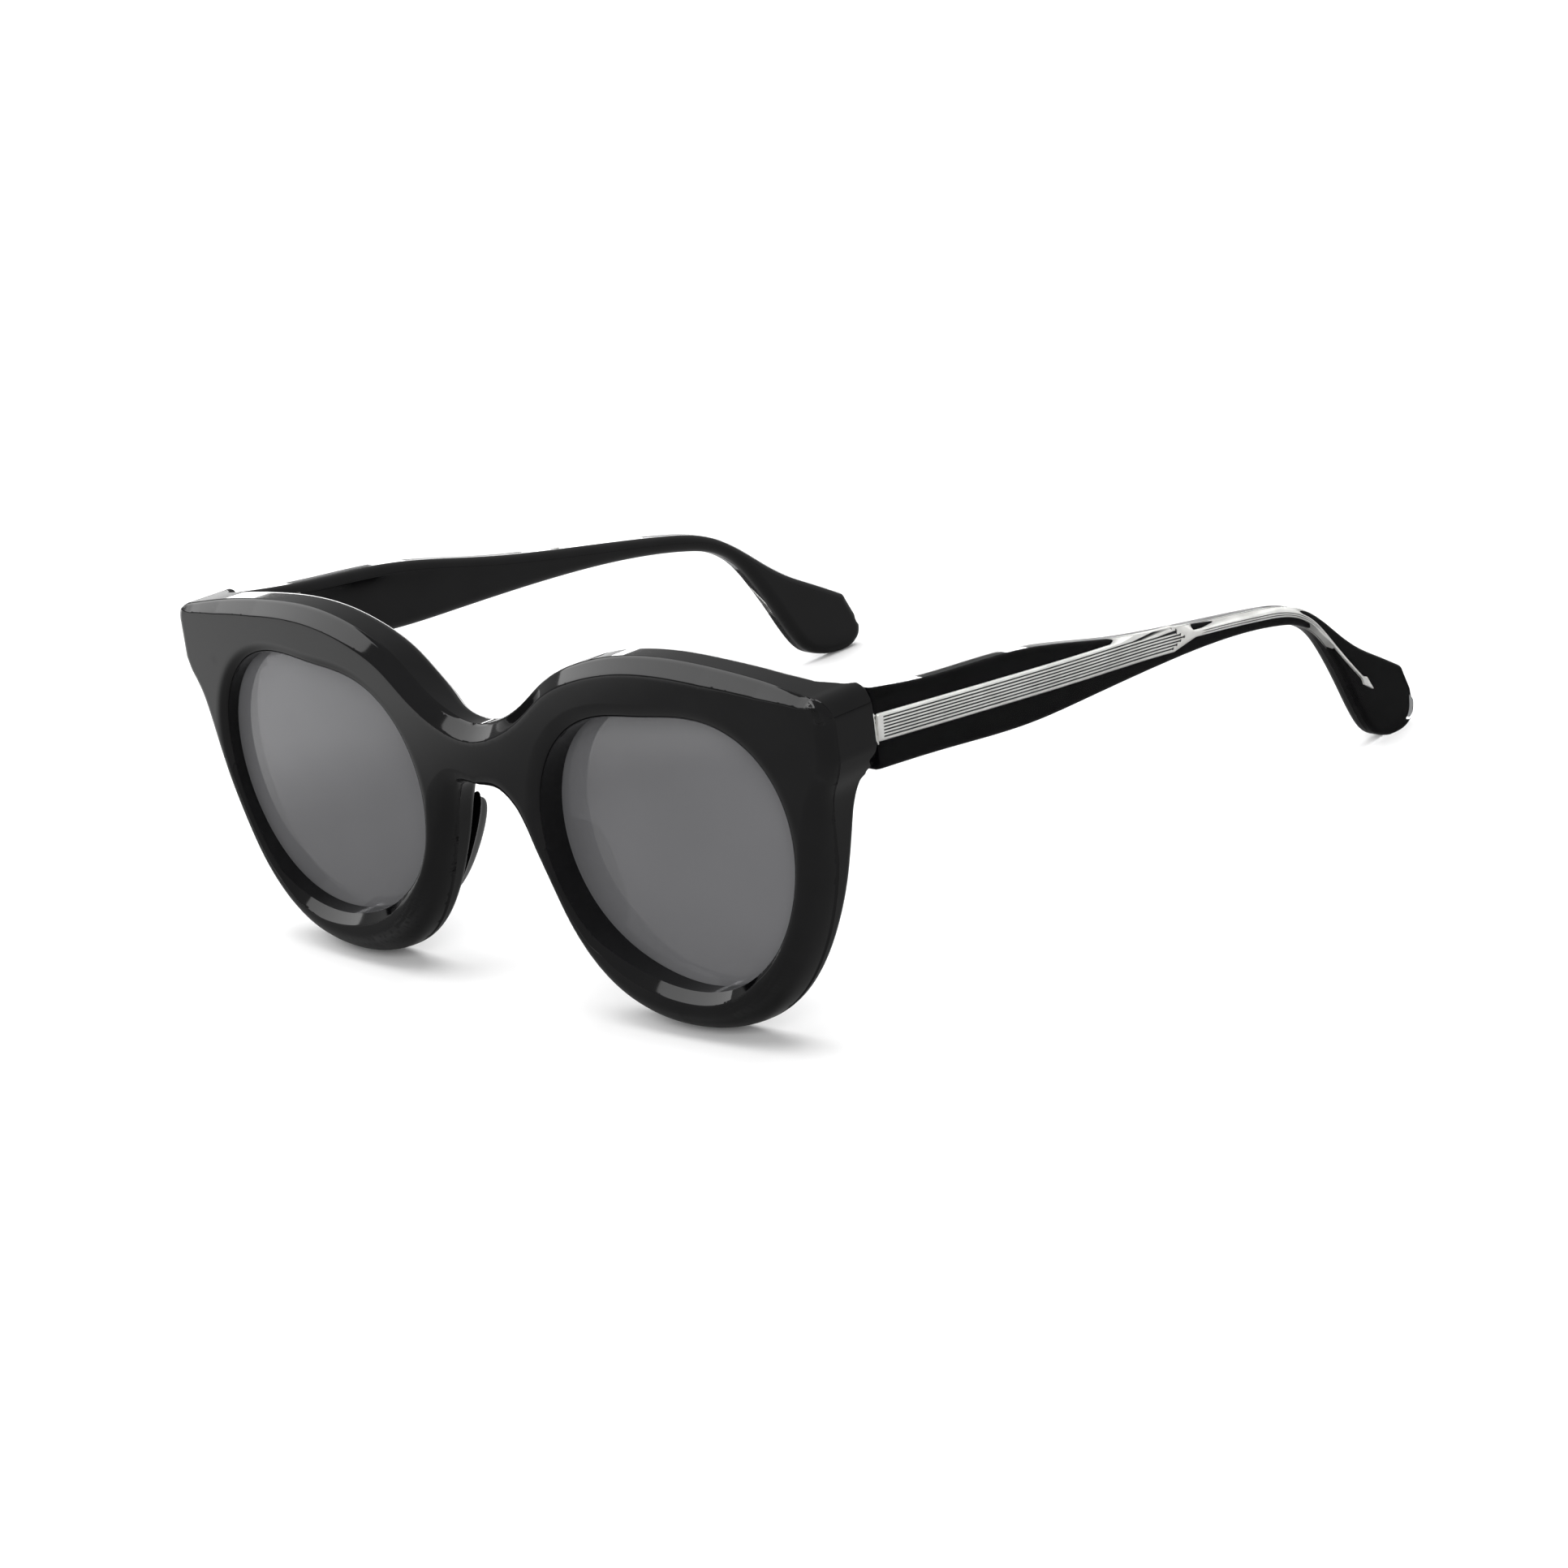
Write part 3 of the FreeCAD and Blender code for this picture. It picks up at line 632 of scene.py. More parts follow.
        # place on the edge, roll reach, roll drop, bevel width, back reach, back drop
        keys = [((-8, 33), 1.6, 1.6, 0, 1.6, 1.6), ((0, 34.6), 1.6, 1.6, 0, 1.6, 1.6),
                ((4.4, 34.1), 3.0, 2.6, 0, 1.6, 1.6), ((7.4, 31.2), 3.6, 3.8, 0, 1.4, 1.4),
                ((10, 25.8), 3.2, 4.8, 0, 1.4, 1.4), ((14.2, 16.2), 3.4, 5.8, 0, 1.4, 1.4),
                ((21, 6.6), 4.2, 6.6, 0, 1.5, 1.5), ((29.5, 1.7), 4.6, 7.0, 0, 1.5, 1.5),
                ((39.3, 0.5), 4.8, 7.0, 0, 1.5, 1.5), ((49, 2.7), 4.8, 7.0, 0, 1.5, 1.5),
                ((57, 8.7), 4.6, 6.8, 0, 1.5, 1.5), ((62.9, 18), 4.0, 6.4, 0, 1.5, 1.5),
                ((66.8, 29.5), 3.4, 5.4, 0, 1.5, 1.5), ((68.3, 37), 2.8, 4.0, 0, 1.2, 1.2),
                ((69.4, 40.6), 2.5, 3.2, 0, 0.6, 0.6), ((71.1, 43.6), 2.3, 2.6, 0, 0.35, 0.35),
                ((72, 46), 2.3, 2.3, 0, 0.3, 0.3), ((72, 51.9), 2.2, 2.2, 0, 0.3, 0.3),
                ((70.98, 54.28), 1.5, 1.4, 0.3, 0.3, 0.3), ((68.6, 55.25), 0.45, 0.4, 1.15, 0.35, 0.35),
                ((67.6, 55.6), 0.4, 0.35, 1.35, 0.6, 0.6), ((65, 56.2), 0.4, 0.35, 1.5, 2.4, 2.4),
                ((60, 56.8), 0.4, 0.35, 1.9, 3.0, 3.0), ((50, 58), 0.4, 0.35, 2.2, 3.0, 3.0),
                ((10, 47.5), 0.4, 0.35, 2.2, 2.4, 2.4), ((0, 44), 0.4, 0.35, 2.2, 1.6, 1.6),
                ((-8, 46), 0.4, 0.35, 2.2, 1.6, 1.6)]
        stations = [length[np.hypot(*(points - np.array(key[0])).T).argmin()] for key in keys]
        names = ("reach", "drop", "bevel", "back_reach", "back_drop")
        for column, name in enumerate(names, start=1):
            outline.values[name] = np.interp(length, stations, [key[column] for key in keys])
        return outline

    def front_depth(self, where: np.ndarray) -> np.ndarray:
        """Depth of the front sheet: the face, its rolled rims, the brow bevel and the openings' edges.

        Args:
            where: (n, 2) points of the face.

        Returns:
            The depth at each point.
        """
        distance, station = self.edge.nearest(where)
        roll = rolled(distance, self.edge.value("reach", station), self.edge.value("drop", station))
        width = self.edge.value("bevel", station)
        bevel = np.where(width > 0.02, bevelled(distance, np.maximum(width, 0.02), 0.95 * width), 0.0)
        gap, angle = self.eye_distance(where)
        chamfered = self.chamfer_share(angle)
        soft = rolled(np.maximum(gap, 0), self.eye_edge, self.eye_edge_drop) * (1 - 0.7 * chamfered)
        size = np.maximum(chamfered, 0.02)
        cut = bevelled(gap, self.chamfer_width * size, self.chamfer_drop * size, self.chamfer_soft)
        cut *= np.minimum(1, 8 * chamfered)
        return self.face_depth(where[:, 0]) + roll + bevel + np.maximum(soft, cut)

    def chamfer_share(self, angle: np.ndarray) -> np.ndarray:
        """The chamfer under each lens: full at the bottom of the opening, run out to points at its sides."""
        from_bottom = np.abs((angle + math.pi / 2 + math.pi) % (2 * math.pi) - math.pi)
        share = np.clip(1.25 * (1 - from_bottom / self.chamfer_half_angle), 0, 1)
        return share * (2 - share)

    def back_depth(self, where: np.ndarray) -> np.ndarray:
        """Depth of the back sheet: rounded edges, a thinner bridge and the end blocks behind it.

        Args:
            where: (n, 2) points of the face.

        Returns:
            The depth at each point.
        """
        distance, station = self.edge.nearest(where)
        reach = self.edge.value("back_reach", station)
        roll = rolled(distance, reach, self.edge.value("back_drop", station))
        gap, _ = self.eye_distance(where)
        soft = rolled(np.maximum(gap, 0), self.back_eye_round, self.back_eye_round)
        relief = self.bridge_relief * np.exp(-(where[:, 0] / self.relief_reach) ** 4)
        plain = self.face_depth(where[:, 0]) + self.thickness - relief - soft
        into = self.block_distance(where)
        fillet = rolled(-np.minimum(into, 0), 1.0, 1.0)
        floor_up = np.clip(self.block_floor + self.block_corner - where[:, 1], 0, self.block_corner)
        rear = self.mitre_depth - self.block_corner + np.sqrt(self.block_corner ** 2 - floor_up ** 2)
        rise = np.clip((into + 0.02) / 0.04, 0, 1)
        block = rear - rolled(np.maximum(into, 0), 0.3, 0.3)
        return plain + fillet * (1 - rise) + (block - plain) * rise - roll

    def block_distance(self, where: np.ndarray) -> np.ndarray:
        """Distance inside the end block's inner wall and floor, negative outside."""
        distance, _ = self.block_edge.nearest(where)
        arc = self.block_arc
        over = np.clip(where[:, 1] - self.block_arc_up, 0, arc)
        wall_x = self.block_inner_x + arc - np.sqrt(arc ** 2 - over ** 2)
        inside = (where[:, 0] > wall_x) & (where[:, 1] > self.block_floor)
        return np.where(inside, distance, -distance)

    def __post_init__(self) -> None:
        """Draw the edges that the depth functions measure from."""
        self.edge = self.outline()
        arc = [(self.block_inner_x + self.block_arc * (1 - math.cos(a)),
                self.block_arc_up + self.block_arc * math.sin(a)) for a in np.linspace(0, math.pi / 2, 10)]
        start = [(76.0, self.block_floor), (self.block_inner_x, self.block_floor)]
        self.block_edge = Outline(np.array(start + arc + [(arc[-1][0], 60.0)]))

    def lens_room(self, ring: np.ndarray) -> tuple[np.ndarray, np.ndarray]:
        """Front and back depth of the lens groove at points of the opening's edge."""
        depth = Lens(self).surface(ring)
        return depth - self.lens_gap, depth + Lens(self).thickness + self.lens_gap

    def plate(self) -> Plate:
        """The front as a half plate to be mirrored.

        Returns:
            The plate, ready to build.
        """
        points = self.edge.points
        loop = points[points[:, 0] >= 0]
        rise = np.arange(self.bridge_underside, self.bridge_top, 0.5)[1:]
        centre = np.column_stack([np.zeros(len(rise)), rise[::-1]])
        border = np.concatenate([loop, centre])
        hole = self.eye_loop(0.0, 260)
        turn = np.linspace(0, math.pi / 2, 9)[1:]
        shares = list(1 - np.cos(turn))
        reach = np.maximum(self.edge.values["reach"], 0.4)
        rings = [inset_rings(self.edge, shares, reach, 0.03)]
        bevel = self.edge.values["bevel"]
        bevel_rings = np.maximum(bevel, 0.6)
        rings.append(inset_rings(self.edge, [0.35, 0.65, 0.88, 0.97, 1.03, 1.12, 1.4], bevel_rings, 0.05))
        back = np.maximum(self.edge.values["back_reach"], 0.3)
        rings.append(inset_rings(self.edge, shares, back, 0.03))
        outer = np.concatenate(rings)
        for share in shares + [1.1, 1.3]:
            outer = np.concatenate([outer, self.eye_loop(share * self.eye_edge, 260)])
        for share in (0.5, 0.8, 0.94, 1.0, 1.06, 1.2):
            outer = np.concatenate([outer, self.eye_loop(0.0, 260, share)])
        knots = self.block_edge.points
        known = np.linspace(0, 1, len(knots))
        wanted = np.linspace(0, 1, 90)
        dense = Outline(np.column_stack([np.interp(wanted, known, knots[:, axis]) for axis in range(2)]))
        for offset in (-1.0, -0.75, -0.5, -0.28, -0.12, -0.04, -0.02, 0.02, 0.04, 0.12, 0.3):
            outer = np.concatenate([outer, dense.points + dense.normals() * offset])
        field_points = spread((0.4, 0.4), (self.half_width, 60.0), 1.25)
        inner = np.concatenate([outer, field_points])
        distance, _ = self.edge.nearest(inner)
        gap, _ = self.eye_distance(inner)
        held = inside_loop(self.edge.points, inner) & (distance > 0.02) & (gap > 0.02) & (inner[:, 0] > 0.2)
        field_flag = np.arange(len(inner)) >= len(outer)
        held &= ~field_flag | ((distance > 0.5) & (gap > 0.5))
        return Plate("front_acetate", border, [hole], inner[held], self.keep, self.front_depth,
                     self.back_depth, self.place, groove=self.lens_room,
                     groove_depth=self.lens_overlap + self.lens_gap, mirror=True)

    def keep(self, centres: np.ndarray) -> np.ndarray:
        """Triangles outside the eye opening are material."""
        return self.eye_distance(centres)[0] > -0.05

    def build(self, finish: bpy.types.Material) -> None:
        """Make and dress the front."""
        dress(self.plate().build(), "front", "black_acetate", finish, "front_frame")


@dataclass
class Lens:
    """A curved tinted lens held in the front's groove."""

    front: FrontFrame
    apex_depth: float = 4.35
    curve_radius: float = 200.0
    thickness: float = 1.8
    edge_break: float = 0.25

    def surface(self, where: np.ndarray) -> np.ndarray:
        """Depth of the lens's outer surface."""
        away = np.hypot(where[:, 0] - self.front.eye_centre[0], where[:, 1] - self.front.eye_centre[1])
        return self.apex_depth + self.curve_radius - np.sqrt(self.curve_radius ** 2 - away ** 2)

    def build(self, side: Side, finish: bpy.types.Material) -> None:
        """Make and dress one lens."""
        rim = self.front.lens_overlap - 0.02

        def bare(where: np.ndarray) -> np.ndarray:
            """Distance in from the lens's edge."""
            return np.maximum(rim - self.front.eye_distance(where)[0], 0)

        def front(where: np.ndarray) -> np.ndarray:
            """Outer surface with its broken edge."""
            return self.surface(where) + rolled(bare(where), self.edge_break, self.edge_break)

        def back(where: np.ndarray) -> np.ndarray:
            """Inner surface with its broken edge."""
            broken = rolled(bare(where), self.edge_break, self.edge_break)
            return self.surface(where) + self.thickness - broken

        def place(solid: np.ndarray) -> np.ndarray:
            """Mirror for the right lens."""
            return self.front.place(solid * np.array([side.value, 1.0, 1.0]))

        loop = self.front.eye_loop(rim, 200)
        rings = [self.front.eye_loop(rim - d, 200) for d in (0.05, 0.13, 0.25, 0.6)]
        centre_x, centre_up = self.front.eye_centre
        net = spread((centre_x - 30, centre_up - 30), (centre_x + 30, centre_up + 30), 1.8)
        net = net[self.front.eye_distance(net)[0] < rim - 1.3]
        plate = Plate("lens_tinted_" + side.suffix, loop, [], np.concatenate(rings + [net]),
                      lambda c: np.ones(len(c), bool), front, back, place, wall_steps=2)
        dress(plate.build(), "front", "lens_tint", finish, "lens_" + side.suffix)


@dataclass
class NosePads:
    """Moulded fins glued behind the nasal rims."""

    front: FrontFrame
    half_length: float = 9.2
    half_thickness: float = 1.6
    reach: float = 3.3
    x: float = 15.4
    up: float = 19.8
    lean: float = math.radians(27.0)
    splay: float = math.radians(-16.0)
    standoff: float = 1.32
    root: float = -1.5
    rings: int = 22
    spokes: int = 56
    crest_power: float = 0.62
    end_power: float = 0.75
    foot_flare: float = 0.16

    def build(self, side: Side, finish: bpy.types.Material) -> None:
        """Make and dress one pad as ellipses that shrink to a rounded crest."""
        solid = []
        for ring in range(self.rings + 1):
            turn = ring / self.rings * math.pi / 2
            along = math.sin(turn)
            share = max(math.cos(turn), 0.0) ** self.crest_power
            flare = 1 + self.foot_flare * math.exp(-ring / 2.0)
            for spoke in range(self.spokes):
                angle = 2 * math.pi * spoke / self.spokes
                lengthwise = self.half_length * flare * share ** self.end_power * math.cos(angle)
                across = self.half_thickness * flare * share * math.sin(angle)
                solid.append((lengthwise, across, self.root + (self.reach - self.root) * along))
        solid = np.array(solid)
        faces = []
        for ring in range(self.rings):
            for spoke in range(self.spokes):
                after = (spoke + 1) % self.spokes
                a, b = ring * self.spokes + spoke, ring * self.spokes + after
                faces.append((a, b, b + self.spokes, a + self.spokes))
        faces.append(tuple(reversed(range(self.spokes))))
        along_rim = np.array([-math.sin(self.lean), math.cos(self.lean), 0.0])
        outward = np.array([-math.sin(self.splay), 0.0, math.cos(self.splay)])
        across = np.cross(outward, along_rim)
        across /= np.linalg.norm(across)
        along_rim = np.cross(across, outward)
        back = self.front.thickness + float(self.front.face_depth(np.array([self.x]))[0]) + self.standoff
        origin = np.array([self.x, self.up, back])

        def place(points: np.ndarray) -> np.ndarray:
            """Pad axes to the front's frame, mirrored for the right side."""
            turned = origin + points[:, :1] * along_rim + points[:, 1:2] * across + points[:, 2:] * outward
            return self.front.place(turned * np.array([side.value, 1.0, 1.0]))

        pad = make_object("pad_acetate_" + side.suffix, solid, faces, None, place)
        dress(pad, "front", "black_acetate", finish, "nose_pad_" + side.suffix)


# ------------------------------------------------------------------ the temples

@dataclass
class Temple:
    """One temple: a clear outer lamination bonded to a black inner one, both bowed to the same arc."""

    front: FrontFrame
    outer_x: float = 72.0
    tip_inset: float = 7.6
    length_y: float = 133.5
    plan_radius: float = 1250.0
    hinge_up: float = 47.6
    clear_layer: float = 1.9
    black_layer: float = 2.3
    bond: float = 0.03
    edge_round: float = 0.8
    inner_round: float = 1.75
    mitre_round: float = 0.12
    root_reach: float = 2.5
    root_drop: float = 1.15
    blend_length: float = 10.0
    bonded_facing: float = 0.8

    def root_y(self, up: float) -> float:
        """Where the mitre, just behind the end block, lies at a height of the front."""
        depth = self.front.mitre_depth + 0.08
        return self.front.face_base_y + up * math.sin(self.front.lean) + depth * math.cos(self.front.lean)

    def root_z(self, up: float) -> float:
        """Height of that place above the table."""
        return up * math.cos(self.front.lean) - self.front.mitre_depth * math.sin(self.front.lean)

    def __post_init__(self) -> None:
        """Find the centre of the plan arc and draw the side outline."""
        start = self.front.face_base_y + self.hinge_up * math.sin(self.front.lean) \
            + self.front.mitre_depth * math.cos(self.front.lean)
        root = np.array([self.outer_x, start])
        tip = np.array([self.outer_x - self.tip_inset, start + self.length_y])
        chord = tip - root
        length = np.hypot(*chord)
        along = chord / length
        reach = math.sqrt(self.plan_radius ** 2 - length ** 2 / 4)
        self.plan_centre = (root + tip) / 2 + np.array([-along[1], along[0]]) * reach
        self.edge = self.outline()

    def outline(self) -> Outline:
        """The side outline, and apart from it the long edge and the mitre that its roundings start from.

        Returns:
            An anticlockwise closed outline whose last vertex repeats its first.
        """
        top_root = (self.root_y(54.3), self.root_z(54.3))
        low_root = (self.root_y(42.3), self.root_z(42.3))
        top = smooth_curve([top_root, (-46.0, 50.9), (-26.0, 47.9), (-18.0, 46.0), (-6.0, 42.6), (14.0, 37.9),
                            (34.0, 33.5), (41.0, 31.5), (45.5, 29.4), (50.0, 26.2), (55.0, 21.8),
                            (60.0, 17.9), (66.0, 14.2), (71.4, 10.9)], 0.7)
        corner = smooth_curve([(71.4, 10.9), (72.05, 10.35), (72.4, 9.6)], 0.3)
        end = np.array([[73.2, 7.8], [74.0, 6.0]])
        foot = smooth_curve([(74.75, 4.2), (74.3, 1.9), (72.3, 0.3), (69.3, 0.0), (66.5, 0.35)], 0.6)
        low = smooth_curve([(66.5, 0.35), (62.2, 2.2), (59.2, 5.9), (55.8, 12.4), (52.0, 19.2), (48.0, 24.4),
                            (43.5, 27.4), (38.0, 29.3), (24.0, 32.2), (4.0, 34.4), (-14.0, 35.6),
                            (-26.0, 36.5), (-46.0, 39.6), low_root], 0.7)
        rise = np.linspace(0, 1, 18)[1:-1, None]
        mitre = np.array(low_root) + (np.array(top_root) - np.array(low_root)) * rise
        run = np.concatenate([top, corner[1:], end, foot, low[1:]])
        loop = np.concatenate([run, mitre])[::-1]
        before = 2 * run[0] - run[12]
        after = 2 * run[-1] - run[-13]
        route = np.concatenate([[before], run, [after]])[::-1]
        share = np.clip(1 - (route[:, 0] - run[0, 0]) / self.blend_length, 0, 1) ** 2
        share[:len(route) // 2] = 0.0
        plain = np.full(len(route), self.edge_round)
        self.long_edge = Outline(route, {"outer_reach": plain + (self.root_reach - plain) * share,
                                         "outer_drop": plain + (self.root_drop - plain) * share,
                                         "inner_reach": np.full(len(route), self.inner_round),
                                         "inner_drop": np.full(len(route), self.inner_round)})
        rise = run[0] - run[-1]
        self.mitre_edge = Outline(np.linspace(run[0] + 0.5 * rise, run[-1] - 0.5 * rise, 30))
        return Outline(np.concatenate([loop, loop[:1]]))

    def place(self, solid: np.ndarray, side: Side) -> np.ndarray:
        """Side view and depth behind the outer face, in millimetres, to the row frame in metres."""
        back, up, depth = solid.T
        radius = self.plan_radius - depth
        x = self.plan_centre[0] + np.sqrt(radius ** 2 - (back - self.plan_centre[1]) ** 2)
        return np.column_stack([side.value * x, back, up]) * MM

    def rounding(self, where: np.ndarray, layer: str) -> np.ndarray:
        """Depth lost to the long edge's rounding and to the broken edge of the mitre."""
        distance, station = self.long_edge.nearest(where)
        reach = self.long_edge.value(layer + "_reach", station)
        along = rolled(distance, reach, self.long_edge.value(layer + "_drop", station))
        return along + rolled(self.mitre_edge.nearest(where)[0], self.mitre_round, self.mitre_round)

    def outer_depth(self, where: np.ndarray) -> np.ndarray:
        """Depth of the clear layer's polished face with its rounded edges."""
        return self.rounding(where, "outer")

    def inner_depth(self, where: np.ndarray) -> np.ndarray:
        """Depth of the black layer's inside face with its rounded edges."""
        return self.clear_layer + self.black_layer - self.rounding(where, "inner")

    def layer(self, name: str, side: Side, front: Callable[[np.ndarray], np.ndarray],
              back: Callable[[np.ndarray], np.ndarray], is_outer: bool) -> Plate:
        """One lamination as a plate.

        Args:
            name: Name of the piece.
            side: Which temple.
            front: Depth of its outer sheet.
            back: Depth of its inner sheet.
            is_outer: True for the clear lamination, which is rounded on its outer sheet.

        Returns:
            The plate, ready to build.
        """
        reaches = self.long_edge.values["outer_reach" if is_outer else "inner_reach"]
        turn = np.linspace(0, math.pi / 2, 9)[1:]
        shares = list(1 - np.cos(turn)) + [1.12]
        mitre = np.full(len(self.mitre_edge.points), self.mitre_round)
        rings = np.concatenate([inset_rings(self.long_edge, shares, reaches, 0.02),
                                inset_rings(self.mitre_edge, shares, mitre, 0.02)])
        net = spread((-62.0, 0.0), (76.0, 56.0), 1.5)
        inner = np.concatenate([rings, net])
        distance, _ = self.edge.nearest(inner)
        held = inside_loop(self.edge.points[:-1], inner) & (distance > 0.015)
        held &= (np.arange(len(inner)) < len(rings)) | (distance > 2.2)
        return Plate(name, self.edge.points[:-1], [], inner[held], lambda c: np.ones(len(c), bool),
                     front, back, lambda solid: self.place(solid, side), round_front=is_outer,
                     round_back=not is_outer, wall_steps=2)

    def build(self, side: Side, clear: bpy.types.Material, black: bpy.types.Material,
              bonded: bpy.types.Material) -> None:
        """Make and dress both laminations of one temple.

        Args:
            side: Which temple.
            clear: Finish of the outer lamination.
            black: Finish of the inner one.
            bonded: Finish of the inner one's hidden face, which has no gloss of its own.
        """
        body = "temple_" + side.suffix

        def bond_face(where: np.ndarray) -> np.ndarray:
            """The clear layer reaches a hair past the bond, so that no air gap shows."""
            return np.full(len(where), self.clear_layer + self.bond)

        def black_face(where: np.ndarray) -> np.ndarray:
            """The flat face that the clear layer is bonded to."""
            return np.full(len(where), self.clear_layer)

        outer = self.layer("clear_layer_" + side.suffix, side, self.outer_depth, bond_face, True)
        dress(outer.build(), body, "clear_acetate", clear, "temple_outer_" + side.suffix)
        inner = self.layer("black_layer_" + side.suffix, side, black_face, self.inner_depth, False)
        piece = inner.build()
        dress(piece, body, "black_acetate", black, "temple_inner_" + side.suffix)
        piece.data.materials.append(bonded)
        for polygon in piece.data.polygons:
            if polygon.normal.x * side.value > self.bonded_facing:
                polygon.material_index = 1


def grid_solid(top: np.ndarray, bottom: np.ndarray) -> tuple[np.ndarray, list[tuple[int, ...]]]:
    """Close two grids of the same size into a solid.

    Args:
        top: (n, m, 3) vertices.
        bottom: (n, m, 3) vertices.

    Returns:
        Vertices and faces.
    """
    rows, columns = top.shape[:2]
    numbers = np.arange(rows * columns).reshape(rows, columns)
    under = numbers + rows * columns
    faces = []
    for i in range(rows - 1):
        for j in range(columns - 1):
            faces.append((numbers[i, j], numbers[i + 1, j], numbers[i + 1, j + 1], numbers[i, j + 1]))
            faces.append((under[i, j], under[i, j + 1], under[i + 1, j + 1], under[i + 1, j]))
    rim = [(0, j) for j in range(columns - 1)] + [(i, columns - 1) for i in range(rows - 1)] \
        + [(rows - 1, j) for j in range(columns - 1, 0, -1)] + [(i, 0) for i in range(rows - 1, 0, -1)]
    for start, end in zip(rim, rim[1:] + rim[:1]):
        faces.append((numbers[start], numbers[end], under[end], under[start]))
    return np.concatenate([top.reshape(-1, 3), bottom.reshape(-1, 3)]), faces


@dataclass
class CoreWire:
    """The engraved silver core wire that shows through the clear layer."""

    temple: Temple
    strip_half: float = 2.0
    tail_half: float = 0.54
    thin_half: float = 0.2
    face_depth: float = 1.2
    back_depth: float = 1.88
    grooves: int = 7
    groove_pitch: float = 0.47
    groove_half: float = 0.13
    groove_depth: float = 0.2
    dot_radius: float = 0.26
    strip_end: float = 69.1
    dots_at: float = 71.6
    comb_half: float = 2.35
    comb_reach: tuple[float, float] = (-1.25, -0.3)
    comb_slope: float = -0.04
    comb_rise: float = 0.24
    engraving_start: float = 1.1
    columns: int = 81

    def centre(self) -> np.ndarray:
        """Centre line in side view: straight through the strip, then down round the ear bend."""
        return smooth_curve([(-57.7, 47.15), (-35.0, 43.7), (-12.0, 40.2), (10.4, 36.75), (15.5, 35.8),
                             (24.0, 34.2), (34.0, 32.1), (40.0, 30.6), (44.0, 29.0), (47.5, 26.8),
                             (51.0, 23.4), (56.0, 17.6), (63.4, 9.6)], 0.12)

    def half_width(self, along: np.ndarray, total: float) -> np.ndarray:
        """Half the wire's width: strip, arrow, tail, thin end and its small arrow head.

        Args:
            along: Distances from the root.
            total: Length of the wire.

        Returns:
            The half width at each distance.
        """
        places = [0, 0.25, self.strip_end, self.strip_end + 5.6, total - 33, total - 14, total - 4.2,
                  total - 3.6, total - 2.8, total - 0.01, total]
        widths = [self.strip_half - 0.15, self.strip_half, self.strip_half, self.tail_half, self.tail_half,
                  self.thin_half, self.thin_half, self.thin_half + 0.12, 0.72, 0.1, 0.05]
        return np.interp(along, places, widths)

    def relief(self, along: np.ndarray, across: np.ndarray, half: np.ndarray,
               total: float) -> tuple[np.ndarray, np.ndarray]:
        """How deep the engraving is: long grooves that end in dots, and two lines down the tail.

        Args:
            along: Distance from the root.
            across: Distance from the centre line.
            half: Half width there.
            total: Length of the wire.

        Returns:
            The depth at each place, and the share of it that is engraving, which is the mask of painted shade
            in the grooves.
        """
        depth = np.zeros(np.broadcast(along, across).shape)
        middle = (self.grooves - 1) / 2
        for number in range(self.grooves):
            line = (number - middle) * self.groove_pitch
            stop = self.dots_at - abs(number - middle)
            near = np.clip(1 - np.abs(across - line) / self.groove_half, 0, 1)
            ends = np.clip((along - self.engraving_start) / 0.3, 0, 1) * np.clip((stop - along) / 0.2, 0, 1)
            depth = np.maximum(depth, self.groove_depth * np.minimum(1, 1.6 * near) * ends)
            dot = np.hypot(along - stop, across - line) / self.dot_radius
            depth = np.maximum(depth, 1.35 * self.groove_depth * np.clip(1.5 * (1 - dot), 0, 1))
        share = across / half
        for line in (-0.34, 0.34):
            near = np.clip(1 - np.abs(share - line) / 0.16, 0, 1)
            ends = np.clip((along - 76.0) / 2.0, 0, 1) * np.clip((total - 16 - along) / 6, 0, 1)
            depth = np.maximum(depth, 0.14 * np.minimum(1, 1.5 * near) * ends)
        crown = 0.12 * share ** 4 + 0.18 * np.clip(np.abs(share) - 0.93, 0, 1) / 0.07
        # The second value is the mask of painted shade: the deeper the groove, the darker the finish paints
        # it.
        return depth + crown, np.clip(1.7 * depth / self.groove_depth, 0, 1)

    def strip(self) -> tuple[tuple[np.ndarray, list[tuple[int, ...]]], np.ndarray]:
        """The wire itself as a grid that is fine near the engraved ends.

        Returns:
            Vertices in side view and depth with their faces, and each vertex's share of engraving, the mask
            of painted shade in the grooves.
        """
        line = self.centre()
        length = np.concatenate([[0], np.cumsum(np.hypot(*np.diff(line, axis=0).T))])
        total = length[-1]
        along = np.concatenate([np.arange(0, 2.4, 0.12), np.arange(2.4, 66, 0.8), np.arange(66, 76, 0.1),
                                np.arange(76, total - 5, 0.6), np.arange(total - 5, total, 0.12), [total]])
        direction = np.gradient(line, axis=0)
        direction /= np.hypot(*direction.T)[:, None]
        centre = np.column_stack([np.interp(along, length, line[:, axis]) for axis in range(2)])
        turned = np.column_stack([np.interp(along, length, direction[:, axis]) for axis in range(2)])
        normal = np.column_stack([-turned[:, 1], turned[:, 0]])
        half = self.half_width(along, total)
        share = np.linspace(-1, 1, self.columns)
        across = half[:, None] * share[None, :]
        places = centre[:, None, :] + normal[:, None, :] * across[:, :, None]
        # cut is the mask of painted shade in the grooves.
        relief, cut = self.relief(along[:, None], across, half[:, None], total)
        top = np.dstack([places, self.face_depth + relief])
        bottom = np.dstack([places, np.full(across.shape, self.back_depth)])
        return grid_solid(top, bottom), np.concatenate([cut.ravel(), np.zeros(cut.size)])

